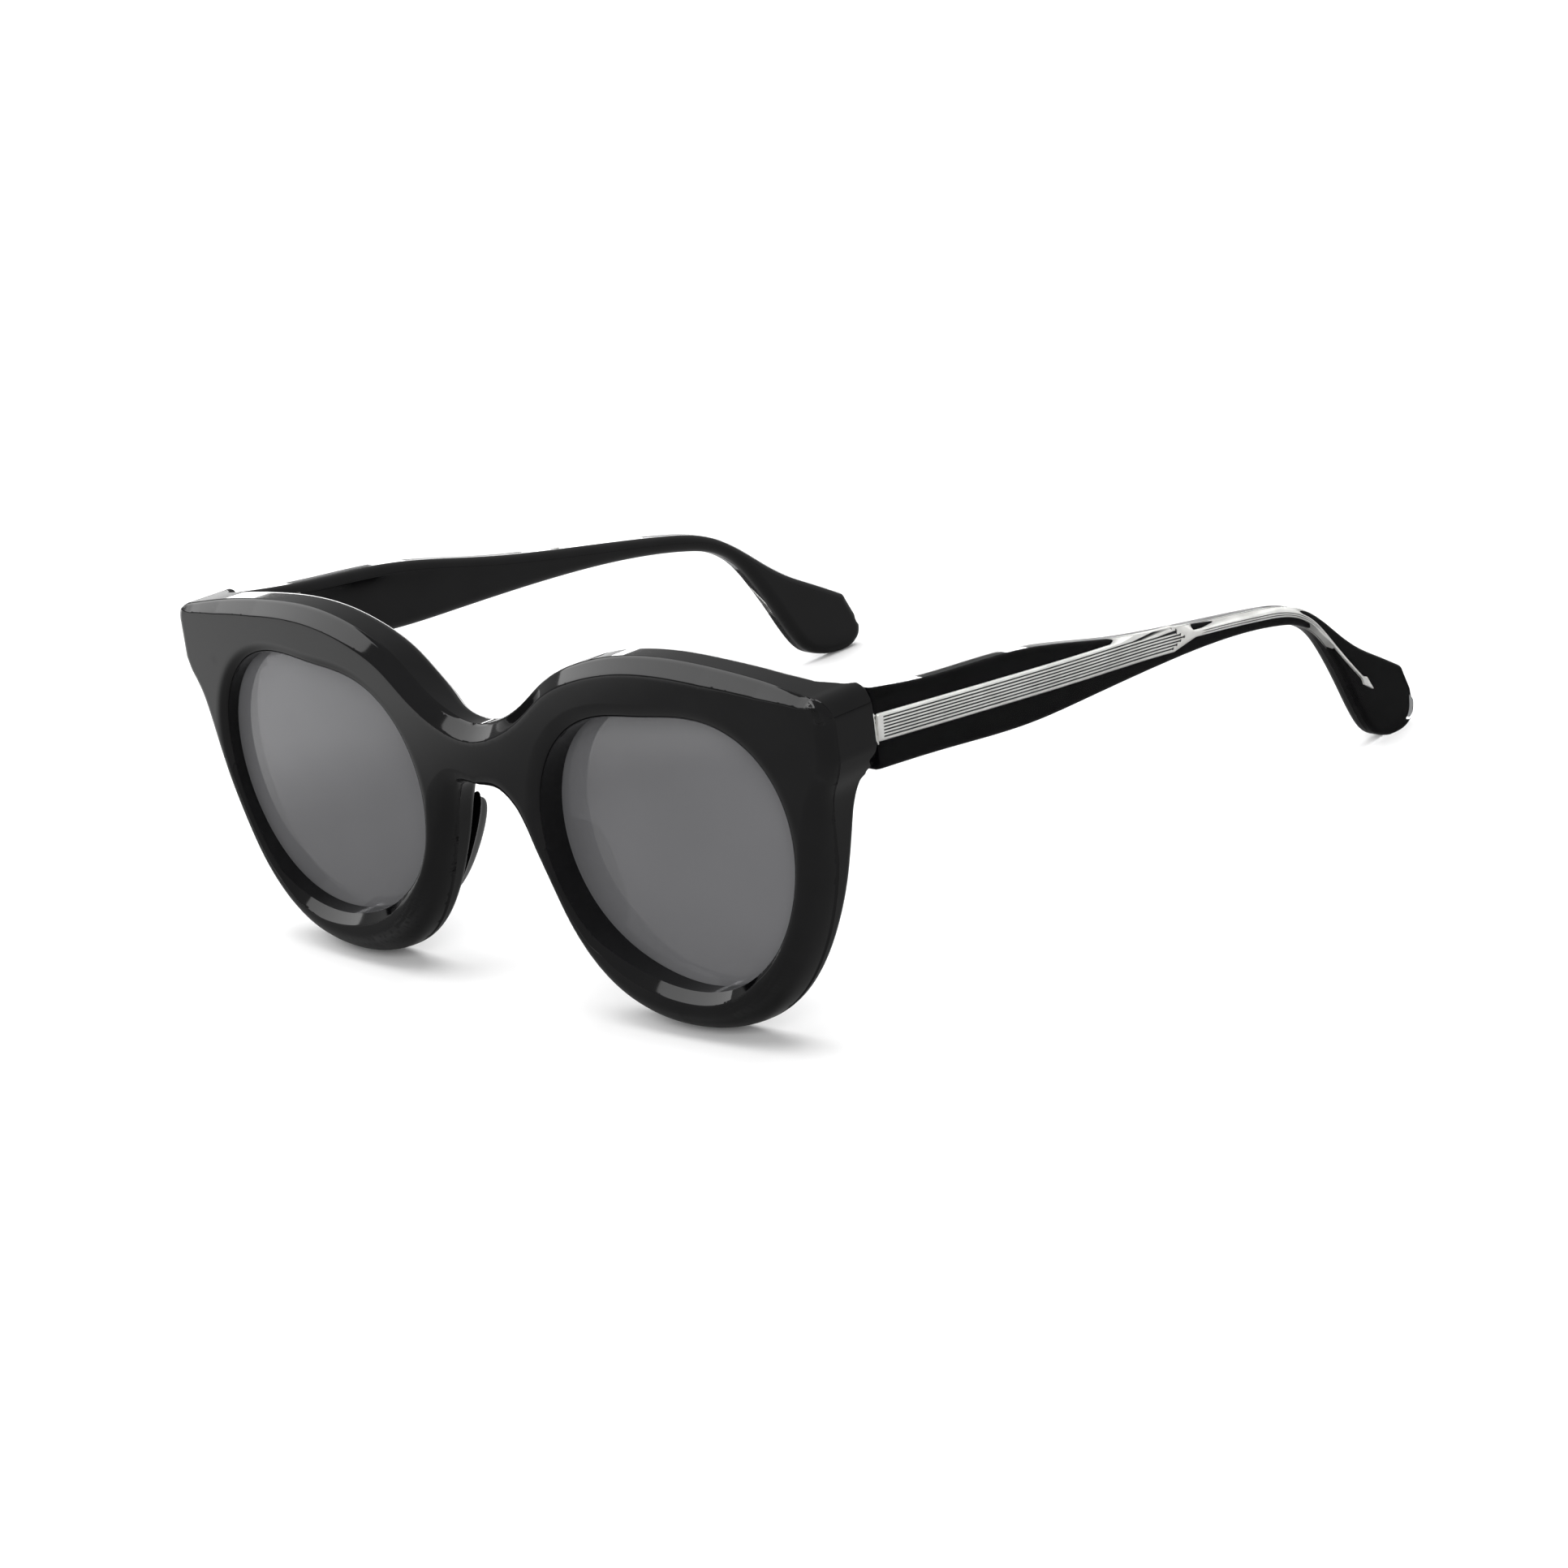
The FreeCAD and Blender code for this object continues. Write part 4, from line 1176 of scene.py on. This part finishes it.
    def comb(self) -> tuple[np.ndarray, list[tuple[int, ...]]]:
        """The knurled stop that sits across the wire's root, beside the mitre.

        Returns:
            Vertices in side view and depth, and faces.
        """
        across = np.linspace(-self.comb_half, self.comb_half, 95)
        along = np.linspace(*self.comb_reach, 20)
        grid_along, grid_across = np.meshgrid(along, across, indexing="ij")
        from_end = grid_along - self.comb_reach[0]
        teeth = np.abs(np.sin(grid_across * 5.4)) * np.abs(np.sin(from_end * 6.2 + 0.7))
        teeth += 0.5 * np.abs(np.sin(grid_across * 2.9 + grid_along * 4.0))
        depth = self.face_depth + 0.34 - self.comb_rise * teeth
        root = self.centre()[0]
        back = root[0] + grid_along + self.comb_slope * grid_across
        places = np.dstack([back, root[1] + grid_across, depth])
        bottom = places.copy()
        bottom[:, :, 2] = self.back_depth
        return grid_solid(places, bottom)

    def build(self, side: Side, finish: bpy.types.Material) -> None:
        """Make and dress one core wire."""
        (solid, faces), cut = self.strip()
        teeth, teeth_faces = self.comb()
        faces += [tuple(v + len(solid) for v in face) for face in teeth_faces]
        wire = make_object("engraved_wire_" + side.suffix, np.concatenate([solid, teeth]), faces, None,
                           lambda points: self.temple.place(points, side))
        # The engraving attribute carries the mask of painted shade that darkens the grooves.
        engraving = wire.data.attributes.new(ENGRAVING_SHADE_MASK, "FLOAT", "POINT")
        engraving.data.foreach_set("value", np.concatenate([cut, np.zeros(len(teeth))]))
        dress(wire, "temple_" + side.suffix, "core_silver", finish, "core_wire_" + side.suffix)


@dataclass
class Hinges:
    """Five-knuckle hinge leaves and their slotted screws, whose CAD shapes stay."""

    names: tuple[str, ...] = ("front_hinge", "temple_hinge")

    def dress_node(self, node: str, material: bpy.types.Material) -> None:
        """Give a CAD node's mesh its finish."""
        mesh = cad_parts[node].data
        mesh.materials.clear()
        mesh.materials.append(material)
        LOG.info("%s: CAD shape kept", node)

    def build(self, side: Side, leaf: bpy.types.Material, screw: bpy.types.Material) -> None:
        """Dress one side's leaves and screw."""
        for name in self.names:
            self.dress_node(name + "_" + side.suffix, leaf)
        self.dress_node("hinge_screw_" + side.suffix, screw)


# ------------------------------------------------------------------ finishes

@dataclass(frozen=True)
class PolishedFinish:
    """Solid polished acetate: deep colour, a soft clear gloss and faint tumbling marks."""

    name: str
    deep: tuple[float, float, float, float]
    milky: tuple[float, float, float, float]
    low_gloss: float
    high_gloss: float
    ior: float
    shine: float


@dataclass(frozen=True)
class ClearFinish:
    """See-through plastic: crystal acetate or a tinted lens."""

    name: str
    tint: tuple[float, float, float, float]
    tint_edge: tuple[float, float, float, float]
    lets_light: tuple[float, float, float, float]
    ior: float
    haze: float
    clarity: float


@dataclass(frozen=True)
class MetalFinish:
    """Bare metal with fine marks drawn along one direction."""

    name: str
    bright: tuple[float, float, float, float]
    dull: tuple[float, float, float, float]
    low_rough: float
    high_rough: float
    mark_scale: tuple[float, float, float]
    mark_depth: float
    anisotropy: float
    metallic: float


BLACK_ACETATE = PolishedFinish("black_acetate", (0.0012, 0.0012, 0.0014, 1), (0.0032, 0.0032, 0.0036, 1),
                               0.035, 0.085, 1.48, 0.5)
BONDED_ACETATE = PolishedFinish("bonded_acetate", (0.0012, 0.0012, 0.0014, 1), (0.0026, 0.0026, 0.003, 1),
                                0.8, 0.95, 1.48, 0.0)
CRYSTAL = ClearFinish("crystal_acetate", (0.97, 0.975, 0.98, 1), (0.90, 0.92, 0.93, 1), (0.9, 0.9, 0.9, 1),
                      1.22, 0.004, 1.0)
GREY_LENS = ClearFinish("grey_lens", (0.27, 0.27, 0.28, 1), (0.235, 0.235, 0.243, 1), (0.45, 0.45, 0.46, 1),
                        1.5, 0.006, 0.45)
ENGRAVED_SILVER = MetalFinish("engraved_silver", (0.92, 0.91, 0.88, 1), (0.74, 0.73, 0.70, 1), 0.34, 0.46,
                              (1600, 60, 1600), 0.12, 0.3, 0.32)
HINGE_STEEL = MetalFinish("hinge_steel", (0.68, 0.67, 0.65, 1), (0.48, 0.47, 0.46, 1), 0.24, 0.4,
                          (300, 2600, 2600), 0.2, 0.3, 1.0)
SCREW_STEEL = MetalFinish("screw_steel", (0.82, 0.82, 0.83, 1), (0.6, 0.6, 0.62, 1), 0.12, 0.26,
                          (2400, 2400, 300), 0.1, 0.2, 1.0)


def polished_acetate(finish: PolishedFinish) -> bpy.types.Material:
    """Polished acetate that shows faint flow in its colour and faint tumbling marks in its gloss.

    Args:
        finish: Its colours and gloss.

    Returns:
        The material.
    """
    material = bpy.data.materials.new(finish.name)
    material.use_nodes = True
    tree = material.node_tree
    nodes, links = tree.nodes, tree.links
    nodes.clear()

    colour_frame = nodes.new("NodeFrame")
    colour_frame.label = "colour of the sheet"
    gloss_frame = nodes.new("NodeFrame")
    gloss_frame.label = "gloss left by tumbling"
    relief_frame = nodes.new("NodeFrame")
    relief_frame.label = "waviness left by the buff"

    places = nodes.new("ShaderNodeTexCoord")
    places.label = "place on the piece"
    places.location = (-1200, 0)
    flow = nodes.new("ShaderNodeTexNoise")
    flow.label = "pigment flow"
    flow.location = (-900, 300)
    flow.parent = colour_frame
    shades = nodes.new("ShaderNodeValToRGB")
    shades.label = "deep to milky"
    shades.location = (-600, 300)
    shades.parent = colour_frame
    haze = nodes.new("ShaderNodeTexNoise")
    haze.label = "patches of duller polish"
    haze.location = (-900, 0)
    haze.parent = gloss_frame
    gloss = nodes.new("ShaderNodeMapRange")
    gloss.label = "roughness range"
    gloss.location = (-600, 0)
    gloss.parent = gloss_frame
    waves = nodes.new("ShaderNodeTexNoise")
    waves.label = "buffing waves"
    waves.location = (-900, -300)
    waves.parent = relief_frame
    relief = nodes.new("ShaderNodeBump")
    relief.label = "very shallow relief"
    relief.location = (-600, -300)
    relief.parent = relief_frame
    surface = nodes.new("ShaderNodeBsdfPrincipled")
    surface.label = "acetate"
    surface.location = (-200, 0)
    output = nodes.new("ShaderNodeOutputMaterial")
    output.label = "surface"
    output.location = (150, 0)

    flow.inputs["Scale"].default_value = 90.0
    flow.inputs["Detail"].default_value = 3.0
    flow.inputs["Distortion"].default_value = 1.2
    shades.color_ramp.elements[0].position = 0.35
    shades.color_ramp.elements[0].color = finish.deep
    shades.color_ramp.elements[1].position = 0.75
    shades.color_ramp.elements[1].color = finish.milky
    haze.inputs["Scale"].default_value = 140.0
    haze.inputs["Detail"].default_value = 6.0
    haze.inputs["Roughness"].default_value = 0.6
    gloss.inputs["From Min"].default_value = 0.35
    gloss.inputs["From Max"].default_value = 0.7
    gloss.inputs["To Min"].default_value = finish.low_gloss
    gloss.inputs["To Max"].default_value = finish.high_gloss
    waves.inputs["Scale"].default_value = 260.0
    waves.inputs["Detail"].default_value = 1.0
    relief.inputs["Strength"].default_value = 0.05
    relief.inputs["Distance"].default_value = 0.00004
    surface.inputs["IOR"].default_value = finish.ior
    surface.inputs["Specular IOR Level"].default_value = finish.shine

    links.new(places.outputs["Object"], flow.inputs["Vector"])
    links.new(places.outputs["Object"], haze.inputs["Vector"])
    links.new(places.outputs["Object"], waves.inputs["Vector"])
    links.new(flow.outputs["Fac"], shades.inputs["Fac"])
    links.new(haze.outputs["Fac"], gloss.inputs["Value"])
    links.new(waves.outputs["Fac"], relief.inputs["Height"])
    links.new(shades.outputs["Color"], surface.inputs["Base Color"])
    links.new(gloss.outputs["Result"], surface.inputs["Roughness"])
    links.new(relief.outputs["Normal"], surface.inputs["Normal"])
    links.new(surface.outputs["BSDF"], output.inputs["Surface"])
    return material


def see_through(finish: ClearFinish) -> bpy.types.Material:
    """Clear or tinted plastic that lamps shine through.

    Args:
        finish: Its tint and haze.

    Returns:
        The material.
    """
    material = bpy.data.materials.new(finish.name)
    material.use_nodes = True
    tree = material.node_tree
    nodes, links = tree.nodes, tree.links
    nodes.clear()

    tint_frame = nodes.new("NodeFrame")
    tint_frame.label = "tint through the piece"
    polish_frame = nodes.new("NodeFrame")
    polish_frame.label = "polish"
    light_frame = nodes.new("NodeFrame")
    light_frame.label = "lamps reach what is behind"

    places = nodes.new("ShaderNodeTexCoord")
    places.label = "place on the piece"
    places.location = (-1200, 0)
    clouds = nodes.new("ShaderNodeTexNoise")
    clouds.label = "uneven dye"
    clouds.location = (-950, 250)
    clouds.parent = tint_frame
    tint = nodes.new("ShaderNodeValToRGB")
    tint.label = "tint range"
    tint.location = (-650, 250)
    tint.parent = tint_frame
    wipes = nodes.new("ShaderNodeTexNoise")
    wipes.label = "wiping marks"
    wipes.location = (-950, -50)
    wipes.parent = polish_frame
    haze = nodes.new("ShaderNodeMapRange")
    haze.label = "haze range"
    haze.location = (-650, -50)
    haze.parent = polish_frame
    surface = nodes.new("ShaderNodeBsdfPrincipled")
    surface.label = "plastic"
    surface.location = (-300, 100)
    ray = nodes.new("ShaderNodeLightPath")
    ray.label = "is this ray from a lamp"
    ray.location = (-300, 500)
    ray.parent = light_frame
    passing = nodes.new("ShaderNodeBsdfTransparent")
    passing.label = "light let through"
    passing.location = (-300, -450)
    passing.parent = light_frame
    either = nodes.new("ShaderNodeMixShader")
    either.label = "lamp rays pass, the rest bend"
    either.location = (50, 100)
    output = nodes.new("ShaderNodeOutputMaterial")
    output.label = "surface"
    output.location = (300, 100)

    clouds.inputs["Scale"].default_value = 30.0
    clouds.inputs["Detail"].default_value = 2.0
    tint.color_ramp.elements[0].position = 0.3
    tint.color_ramp.elements[0].color = finish.tint_edge
    tint.color_ramp.elements[1].position = 0.7
    tint.color_ramp.elements[1].color = finish.tint
    wipes.inputs["Scale"].default_value = 120.0
    wipes.inputs["Detail"].default_value = 5.0
    wipes.inputs["Distortion"].default_value = 1.5
    haze.inputs["From Min"].default_value = 0.4
    haze.inputs["From Max"].default_value = 0.8
    haze.inputs["To Min"].default_value = 0.0
    haze.inputs["To Max"].default_value = finish.haze
    surface.inputs["Transmission Weight"].default_value = finish.clarity
    surface.inputs["IOR"].default_value = finish.ior
    passing.inputs["Color"].default_value = finish.lets_light

    links.new(places.outputs["Object"], clouds.inputs["Vector"])
    links.new(places.outputs["Object"], wipes.inputs["Vector"])
    links.new(clouds.outputs["Fac"], tint.inputs["Fac"])
    links.new(tint.outputs["Color"], surface.inputs["Base Color"])
    links.new(wipes.outputs["Fac"], haze.inputs["Value"])
    links.new(haze.outputs["Result"], surface.inputs["Roughness"])
    links.new(ray.outputs["Is Shadow Ray"], either.inputs["Fac"])
    links.new(surface.outputs["BSDF"], either.inputs[1])
    links.new(passing.outputs["BSDF"], either.inputs[2])
    links.new(either.outputs["Shader"], output.inputs["Surface"])
    return material


def drawn_metal(finish: MetalFinish) -> bpy.types.Material:
    """Metal with fine marks drawn along its length, and painted shade that darkens the grooves of an
    engraving.

    Args:
        finish: Its colours, roughness and marks.

    Returns:
        The material.
    """
    material = bpy.data.materials.new(finish.name)
    material.use_nodes = True
    tree = material.node_tree
    nodes, links = tree.nodes, tree.links
    nodes.clear()

    mark_frame = nodes.new("NodeFrame")
    mark_frame.label = "drawn marks"
    tone_frame = nodes.new("NodeFrame")
    tone_frame.label = "tone, tarnish and painted groove shade"

    places = nodes.new("ShaderNodeTexCoord")
    places.label = "place on the piece"
    places.location = (-1300, 0)
    stretch = nodes.new("ShaderNodeMapping")
    stretch.label = "draw the marks out lengthwise"
    stretch.location = (-1080, -150)
    stretch.parent = mark_frame
    marks = nodes.new("ShaderNodeTexNoise")
    marks.label = "fine marks"
    marks.location = (-850, -150)
    marks.parent = mark_frame
    rough = nodes.new("ShaderNodeMapRange")
    rough.label = "roughness of the marks"
    rough.location = (-550, -50)
    rough.parent = mark_frame
    relief = nodes.new("ShaderNodeBump")
    relief.label = "depth of the marks"
    relief.location = (-550, -350)
    relief.parent = mark_frame
    tarnish = nodes.new("ShaderNodeTexNoise")
    tarnish.label = "patchy tarnish"
    tarnish.location = (-850, 250)
    tarnish.parent = tone_frame
    tones = nodes.new("ShaderNodeValToRGB")
    tones.label = "dull to bright"
    tones.location = (-550, 250)
    tones.parent = tone_frame
    # Painted shade: the engraving attribute darkens the grooves in place of the shade that falls in them.
    cut = nodes.new("ShaderNodeAttribute")
    cut.label = "how deep the engraving is here"
    cut.location = (-550, 550)
    cut.parent = tone_frame
    painted_groove_shade = nodes.new("ShaderNodeMixRGB")
    painted_groove_shade.label = "painted shade in the engraving"
    painted_groove_shade.location = (-250, 350)
    painted_groove_shade.parent = tone_frame
    surface = nodes.new("ShaderNodeBsdfPrincipled")
    surface.label = "metal"
    surface.location = (-50, 0)
    output = nodes.new("ShaderNodeOutputMaterial")
    output.label = "surface"
    output.location = (150, 0)

    cut.attribute_name = ENGRAVING_SHADE_MASK
    # Colour of the painted shade in the grooves.
    painted_groove_shade.inputs["Color2"].default_value = (0.02, 0.02, 0.022, 1)
    stretch.inputs["Scale"].default_value = finish.mark_scale
    marks.inputs["Scale"].default_value = 1.0
    marks.inputs["Detail"].default_value = 4.0
    rough.inputs["To Min"].default_value = finish.low_rough
    rough.inputs["To Max"].default_value = finish.high_rough
    relief.inputs["Strength"].default_value = finish.mark_depth
    relief.inputs["Distance"].default_value = 0.00005
    tarnish.inputs["Scale"].default_value = 220.0
    tarnish.inputs["Detail"].default_value = 5.0
    tones.color_ramp.elements[0].position = 0.3
    tones.color_ramp.elements[0].color = finish.dull
    tones.color_ramp.elements[1].position = 0.65
    tones.color_ramp.elements[1].color = finish.bright
    surface.inputs["Metallic"].default_value = finish.metallic
    surface.inputs["Anisotropic"].default_value = finish.anisotropy

    links.new(places.outputs["Object"], stretch.inputs["Vector"])
    links.new(stretch.outputs["Vector"], marks.inputs["Vector"])
    links.new(places.outputs["Object"], tarnish.inputs["Vector"])
    links.new(marks.outputs["Fac"], rough.inputs["Value"])
    links.new(marks.outputs["Fac"], relief.inputs["Height"])
    links.new(tarnish.outputs["Fac"], tones.inputs["Fac"])
    links.new(cut.outputs["Fac"], painted_groove_shade.inputs["Fac"])
    links.new(tones.outputs["Color"], painted_groove_shade.inputs["Color1"])
    links.new(painted_groove_shade.outputs["Color"], surface.inputs["Base Color"])
    links.new(rough.outputs["Result"], surface.inputs["Roughness"])
    links.new(relief.outputs["Normal"], surface.inputs["Normal"])
    links.new(surface.outputs["BSDF"], output.inputs["Surface"])
    return material


SHADE_EDGE = -0.09        # m, x on the floor where the painted light in its reflection starts
LIGHT_EDGE = -0.18        # m, x on the floor where the painted light in its reflection is strongest


def floor_paper(seen: float, shaded: float, lit: float) -> bpy.types.Material:
    """Pale paper: bright to the eye; where the gloss mirrors it, grey by painted shade and lighter towards
    the left box by painted light.

    Args:
        seen: How pale it looks directly.
        shaded: How pale its reflections are in front of the glasses, a painted shade.
        lit: How pale they are beyond the glasses' right side, a painted light.

    Returns:
        The material.
    """
    material = bpy.data.materials.new("floor_paper")
    material.use_nodes = True
    tree = material.node_tree
    nodes, links = tree.nodes, tree.links
    nodes.clear()
    ray = nodes.new("ShaderNodeLightPath")
    ray.label = "seen directly or mirrored"
    ray.location = (-600, 300)
    direct = nodes.new("ShaderNodeBsdfDiffuse")
    direct.label = "paper seen directly"
    direct.location = (-600, -50)
    painted_shade_paper = nodes.new("ShaderNodeBsdfDiffuse")
    painted_shade_paper.label = "paper in reflections with painted shade"
    painted_shade_paper.location = (-600, -250)
    either = nodes.new("ShaderNodeMixShader")
    either.label = "choose by ray"
    either.location = (-250, 0)
    output = nodes.new("ShaderNodeOutputMaterial")
    output.label = "surface"
    output.location = (0, 0)
    places = nodes.new("ShaderNodeTexCoord")
    places.label = "place on the floor"
    places.location = (-1250, -250)
    split = nodes.new("ShaderNodeSeparateXYZ")
    split.label = "across the floor"
    split.location = (-1050, -250)
    painted_light_ramp = nodes.new("ShaderNodeMapRange")
    painted_light_ramp.label = "shade to light"
    painted_light_ramp.interpolation_type = "SMOOTHSTEP"
    painted_light_ramp.location = (-850, -250)
    # Painted shade and painted light: reflections of the floor are grey in front of the glasses and lighten
    # towards the left box, apart from any lamp.
    direct.inputs["Color"].default_value = (seen, seen, seen, 1)
    painted_light_ramp.inputs["From Min"].default_value = SHADE_EDGE
    painted_light_ramp.inputs["From Max"].default_value = LIGHT_EDGE
    painted_light_ramp.inputs["To Min"].default_value = shaded
    painted_light_ramp.inputs["To Max"].default_value = lit
    links.new(places.outputs["Object"], split.inputs["Vector"])
    links.new(split.outputs["X"], painted_light_ramp.inputs["Value"])
    links.new(painted_light_ramp.outputs["Result"], painted_shade_paper.inputs["Color"])
    links.new(ray.outputs["Is Camera Ray"], either.inputs["Fac"])
    links.new(painted_shade_paper.outputs["BSDF"], either.inputs[1])
    links.new(direct.outputs["BSDF"], either.inputs[2])
    links.new(either.outputs["Shader"], output.inputs["Surface"])
    return material


# ------------------------------------------------------------------ the studio

@dataclass
class Studio:
    """Pale floor, soft lamps and the camera."""

    azimuth: float = math.radians(46.29)
    elevation: float = math.radians(19.576)
    roll: float = math.radians(-9.386)
    distance: float = 0.700027
    lens: float = 95.32
    sensor: float = 36.0
    target: tuple[float, float, float] = (-0.017852, 0.007567, 0.002366)
    floor_size: float = 8.0
    sky: float = 0.3
    paper: tuple[float, float, float] = (0.93, 0.2, 0.62)    # seen tone, and the painted shade and painted light tones of its reflections

    def back_vector(self) -> Vector:
        """Unit vector from the target towards the camera."""
        level = math.cos(self.elevation)
        return Vector((math.sin(self.azimuth) * level, -math.cos(self.azimuth) * level,
                       math.sin(self.elevation)))

    def camera(self) -> None:
        """Put the camera at its viewing angle, with its roll."""
        back = self.back_vector()
        right = Vector((0, 0, 1)).cross(back).normalized()
        up = back.cross(right)
        across = right * math.cos(self.roll) + up * math.sin(self.roll)
        upward = up * math.cos(self.roll) - right * math.sin(self.roll)
        data = bpy.data.cameras.new("camera")
        data.lens = self.lens
        data.sensor_width = self.sensor
        data.clip_end = 20
        camera = bpy.data.objects.new("camera", data)
        turn = Matrix((across, upward, back)).transposed().to_4x4()
        camera.matrix_world = Matrix.Translation(Vector(self.target) + back * self.distance) @ turn
        bpy.context.scene.collection.objects.link(camera)
        bpy.context.scene.camera = camera

    def floor(self) -> None:
        """Lay the floor."""
        half = self.floor_size / 2
        mesh = bpy.data.meshes.new("floor")
        corners = [(-half, -half, 0), (half, -half, 0), (half, half, 0), (-half, half, 0)]
        mesh.from_pydata(corners, [], [(0, 1, 2, 3)])
        mesh.materials.append(floor_paper(*self.paper))
        floor = bpy.data.objects.new("floor", mesh)
        bpy.context.scene.collection.objects.link(floor)

    def lamp(self, name: str, place: tuple[float, float, float], size: tuple[float, float],
             power: float, in_gloss: bool = True) -> None:
        """Hang a rectangular soft box that faces the glasses.

        Args:
            name: Its name.
            place: Where it hangs, in metres.
            size: Width and height.
            power: Watts.
            in_gloss: Whether polished faces mirror it.
        """
        data = bpy.data.lights.new(name, "AREA")
        data.shape = "RECTANGLE"
        data.size, data.size_y = size
        data.energy = power
        lamp = bpy.data.objects.new(name, data)
        lamp.location = place
        lamp.visible_glossy = in_gloss
        aim = Vector((0, 0, 0.03)) - Vector(place)
        lamp.rotation_euler = aim.to_track_quat("-Z", "Y").to_euler()
        bpy.context.scene.collection.objects.link(lamp)

    def build(self) -> None:
        """Set up floor, lamps, sky and camera."""
        self.floor()
        self.lamp("overhead_box", (0.0, 0.2, 1.6), (1.6, 1.6), 26.0, in_gloss=False)
        self.lamp("right_fill", (0.9, -1.0, 0.7), (1.0, 1.0), 15.0, in_gloss=False)
        self.lamp("left_box", (-0.92, -0.22, 0.92), (1.3, 1.1), 9.0)
        self.lamp("back_left_strip", (-1.05, 1.0, 0.08), (1.2, 0.12), 2.2)
        world = bpy.data.worlds.new("studio_sky")
        bpy.context.scene.world = world
        world.use_nodes = True
        sky = world.node_tree.nodes["Background"]
        sky.inputs["Color"].default_value = (1.0, 1.0, 1.0, 1.0)
        sky.inputs["Strength"].default_value = self.sky
        bpy.context.scene.view_settings.view_transform = "Standard"
        bpy.context.scene.view_settings.look = "None"
        self.camera()


def main() -> None:
    """Build the glasses from the front back, then the studio."""
    logging.basicConfig(level=logging.INFO, format="%(name)s: %(message)s")
    black = polished_acetate(BLACK_ACETATE)
    bonded = polished_acetate(BONDED_ACETATE)
    crystal = see_through(CRYSTAL)
    grey = see_through(GREY_LENS)
    silver = drawn_metal(ENGRAVED_SILVER)
    steel = drawn_metal(HINGE_STEEL)
    bright = drawn_metal(SCREW_STEEL)
    front = FrontFrame()
    front.build(black)
    lens = Lens(front)
    pads = NosePads(front)
    temple = Temple(front)
    wire = CoreWire(temple)
    hinges = Hinges()
    for side in Side:
        lens.build(side, grey)
        pads.build(side, black)
        temple.build(side, crystal, black, bonded)
        wire.build(side, silver)
        hinges.build(side, steel, bright)
    Studio().build()


if __name__ == "__main__":
    main()
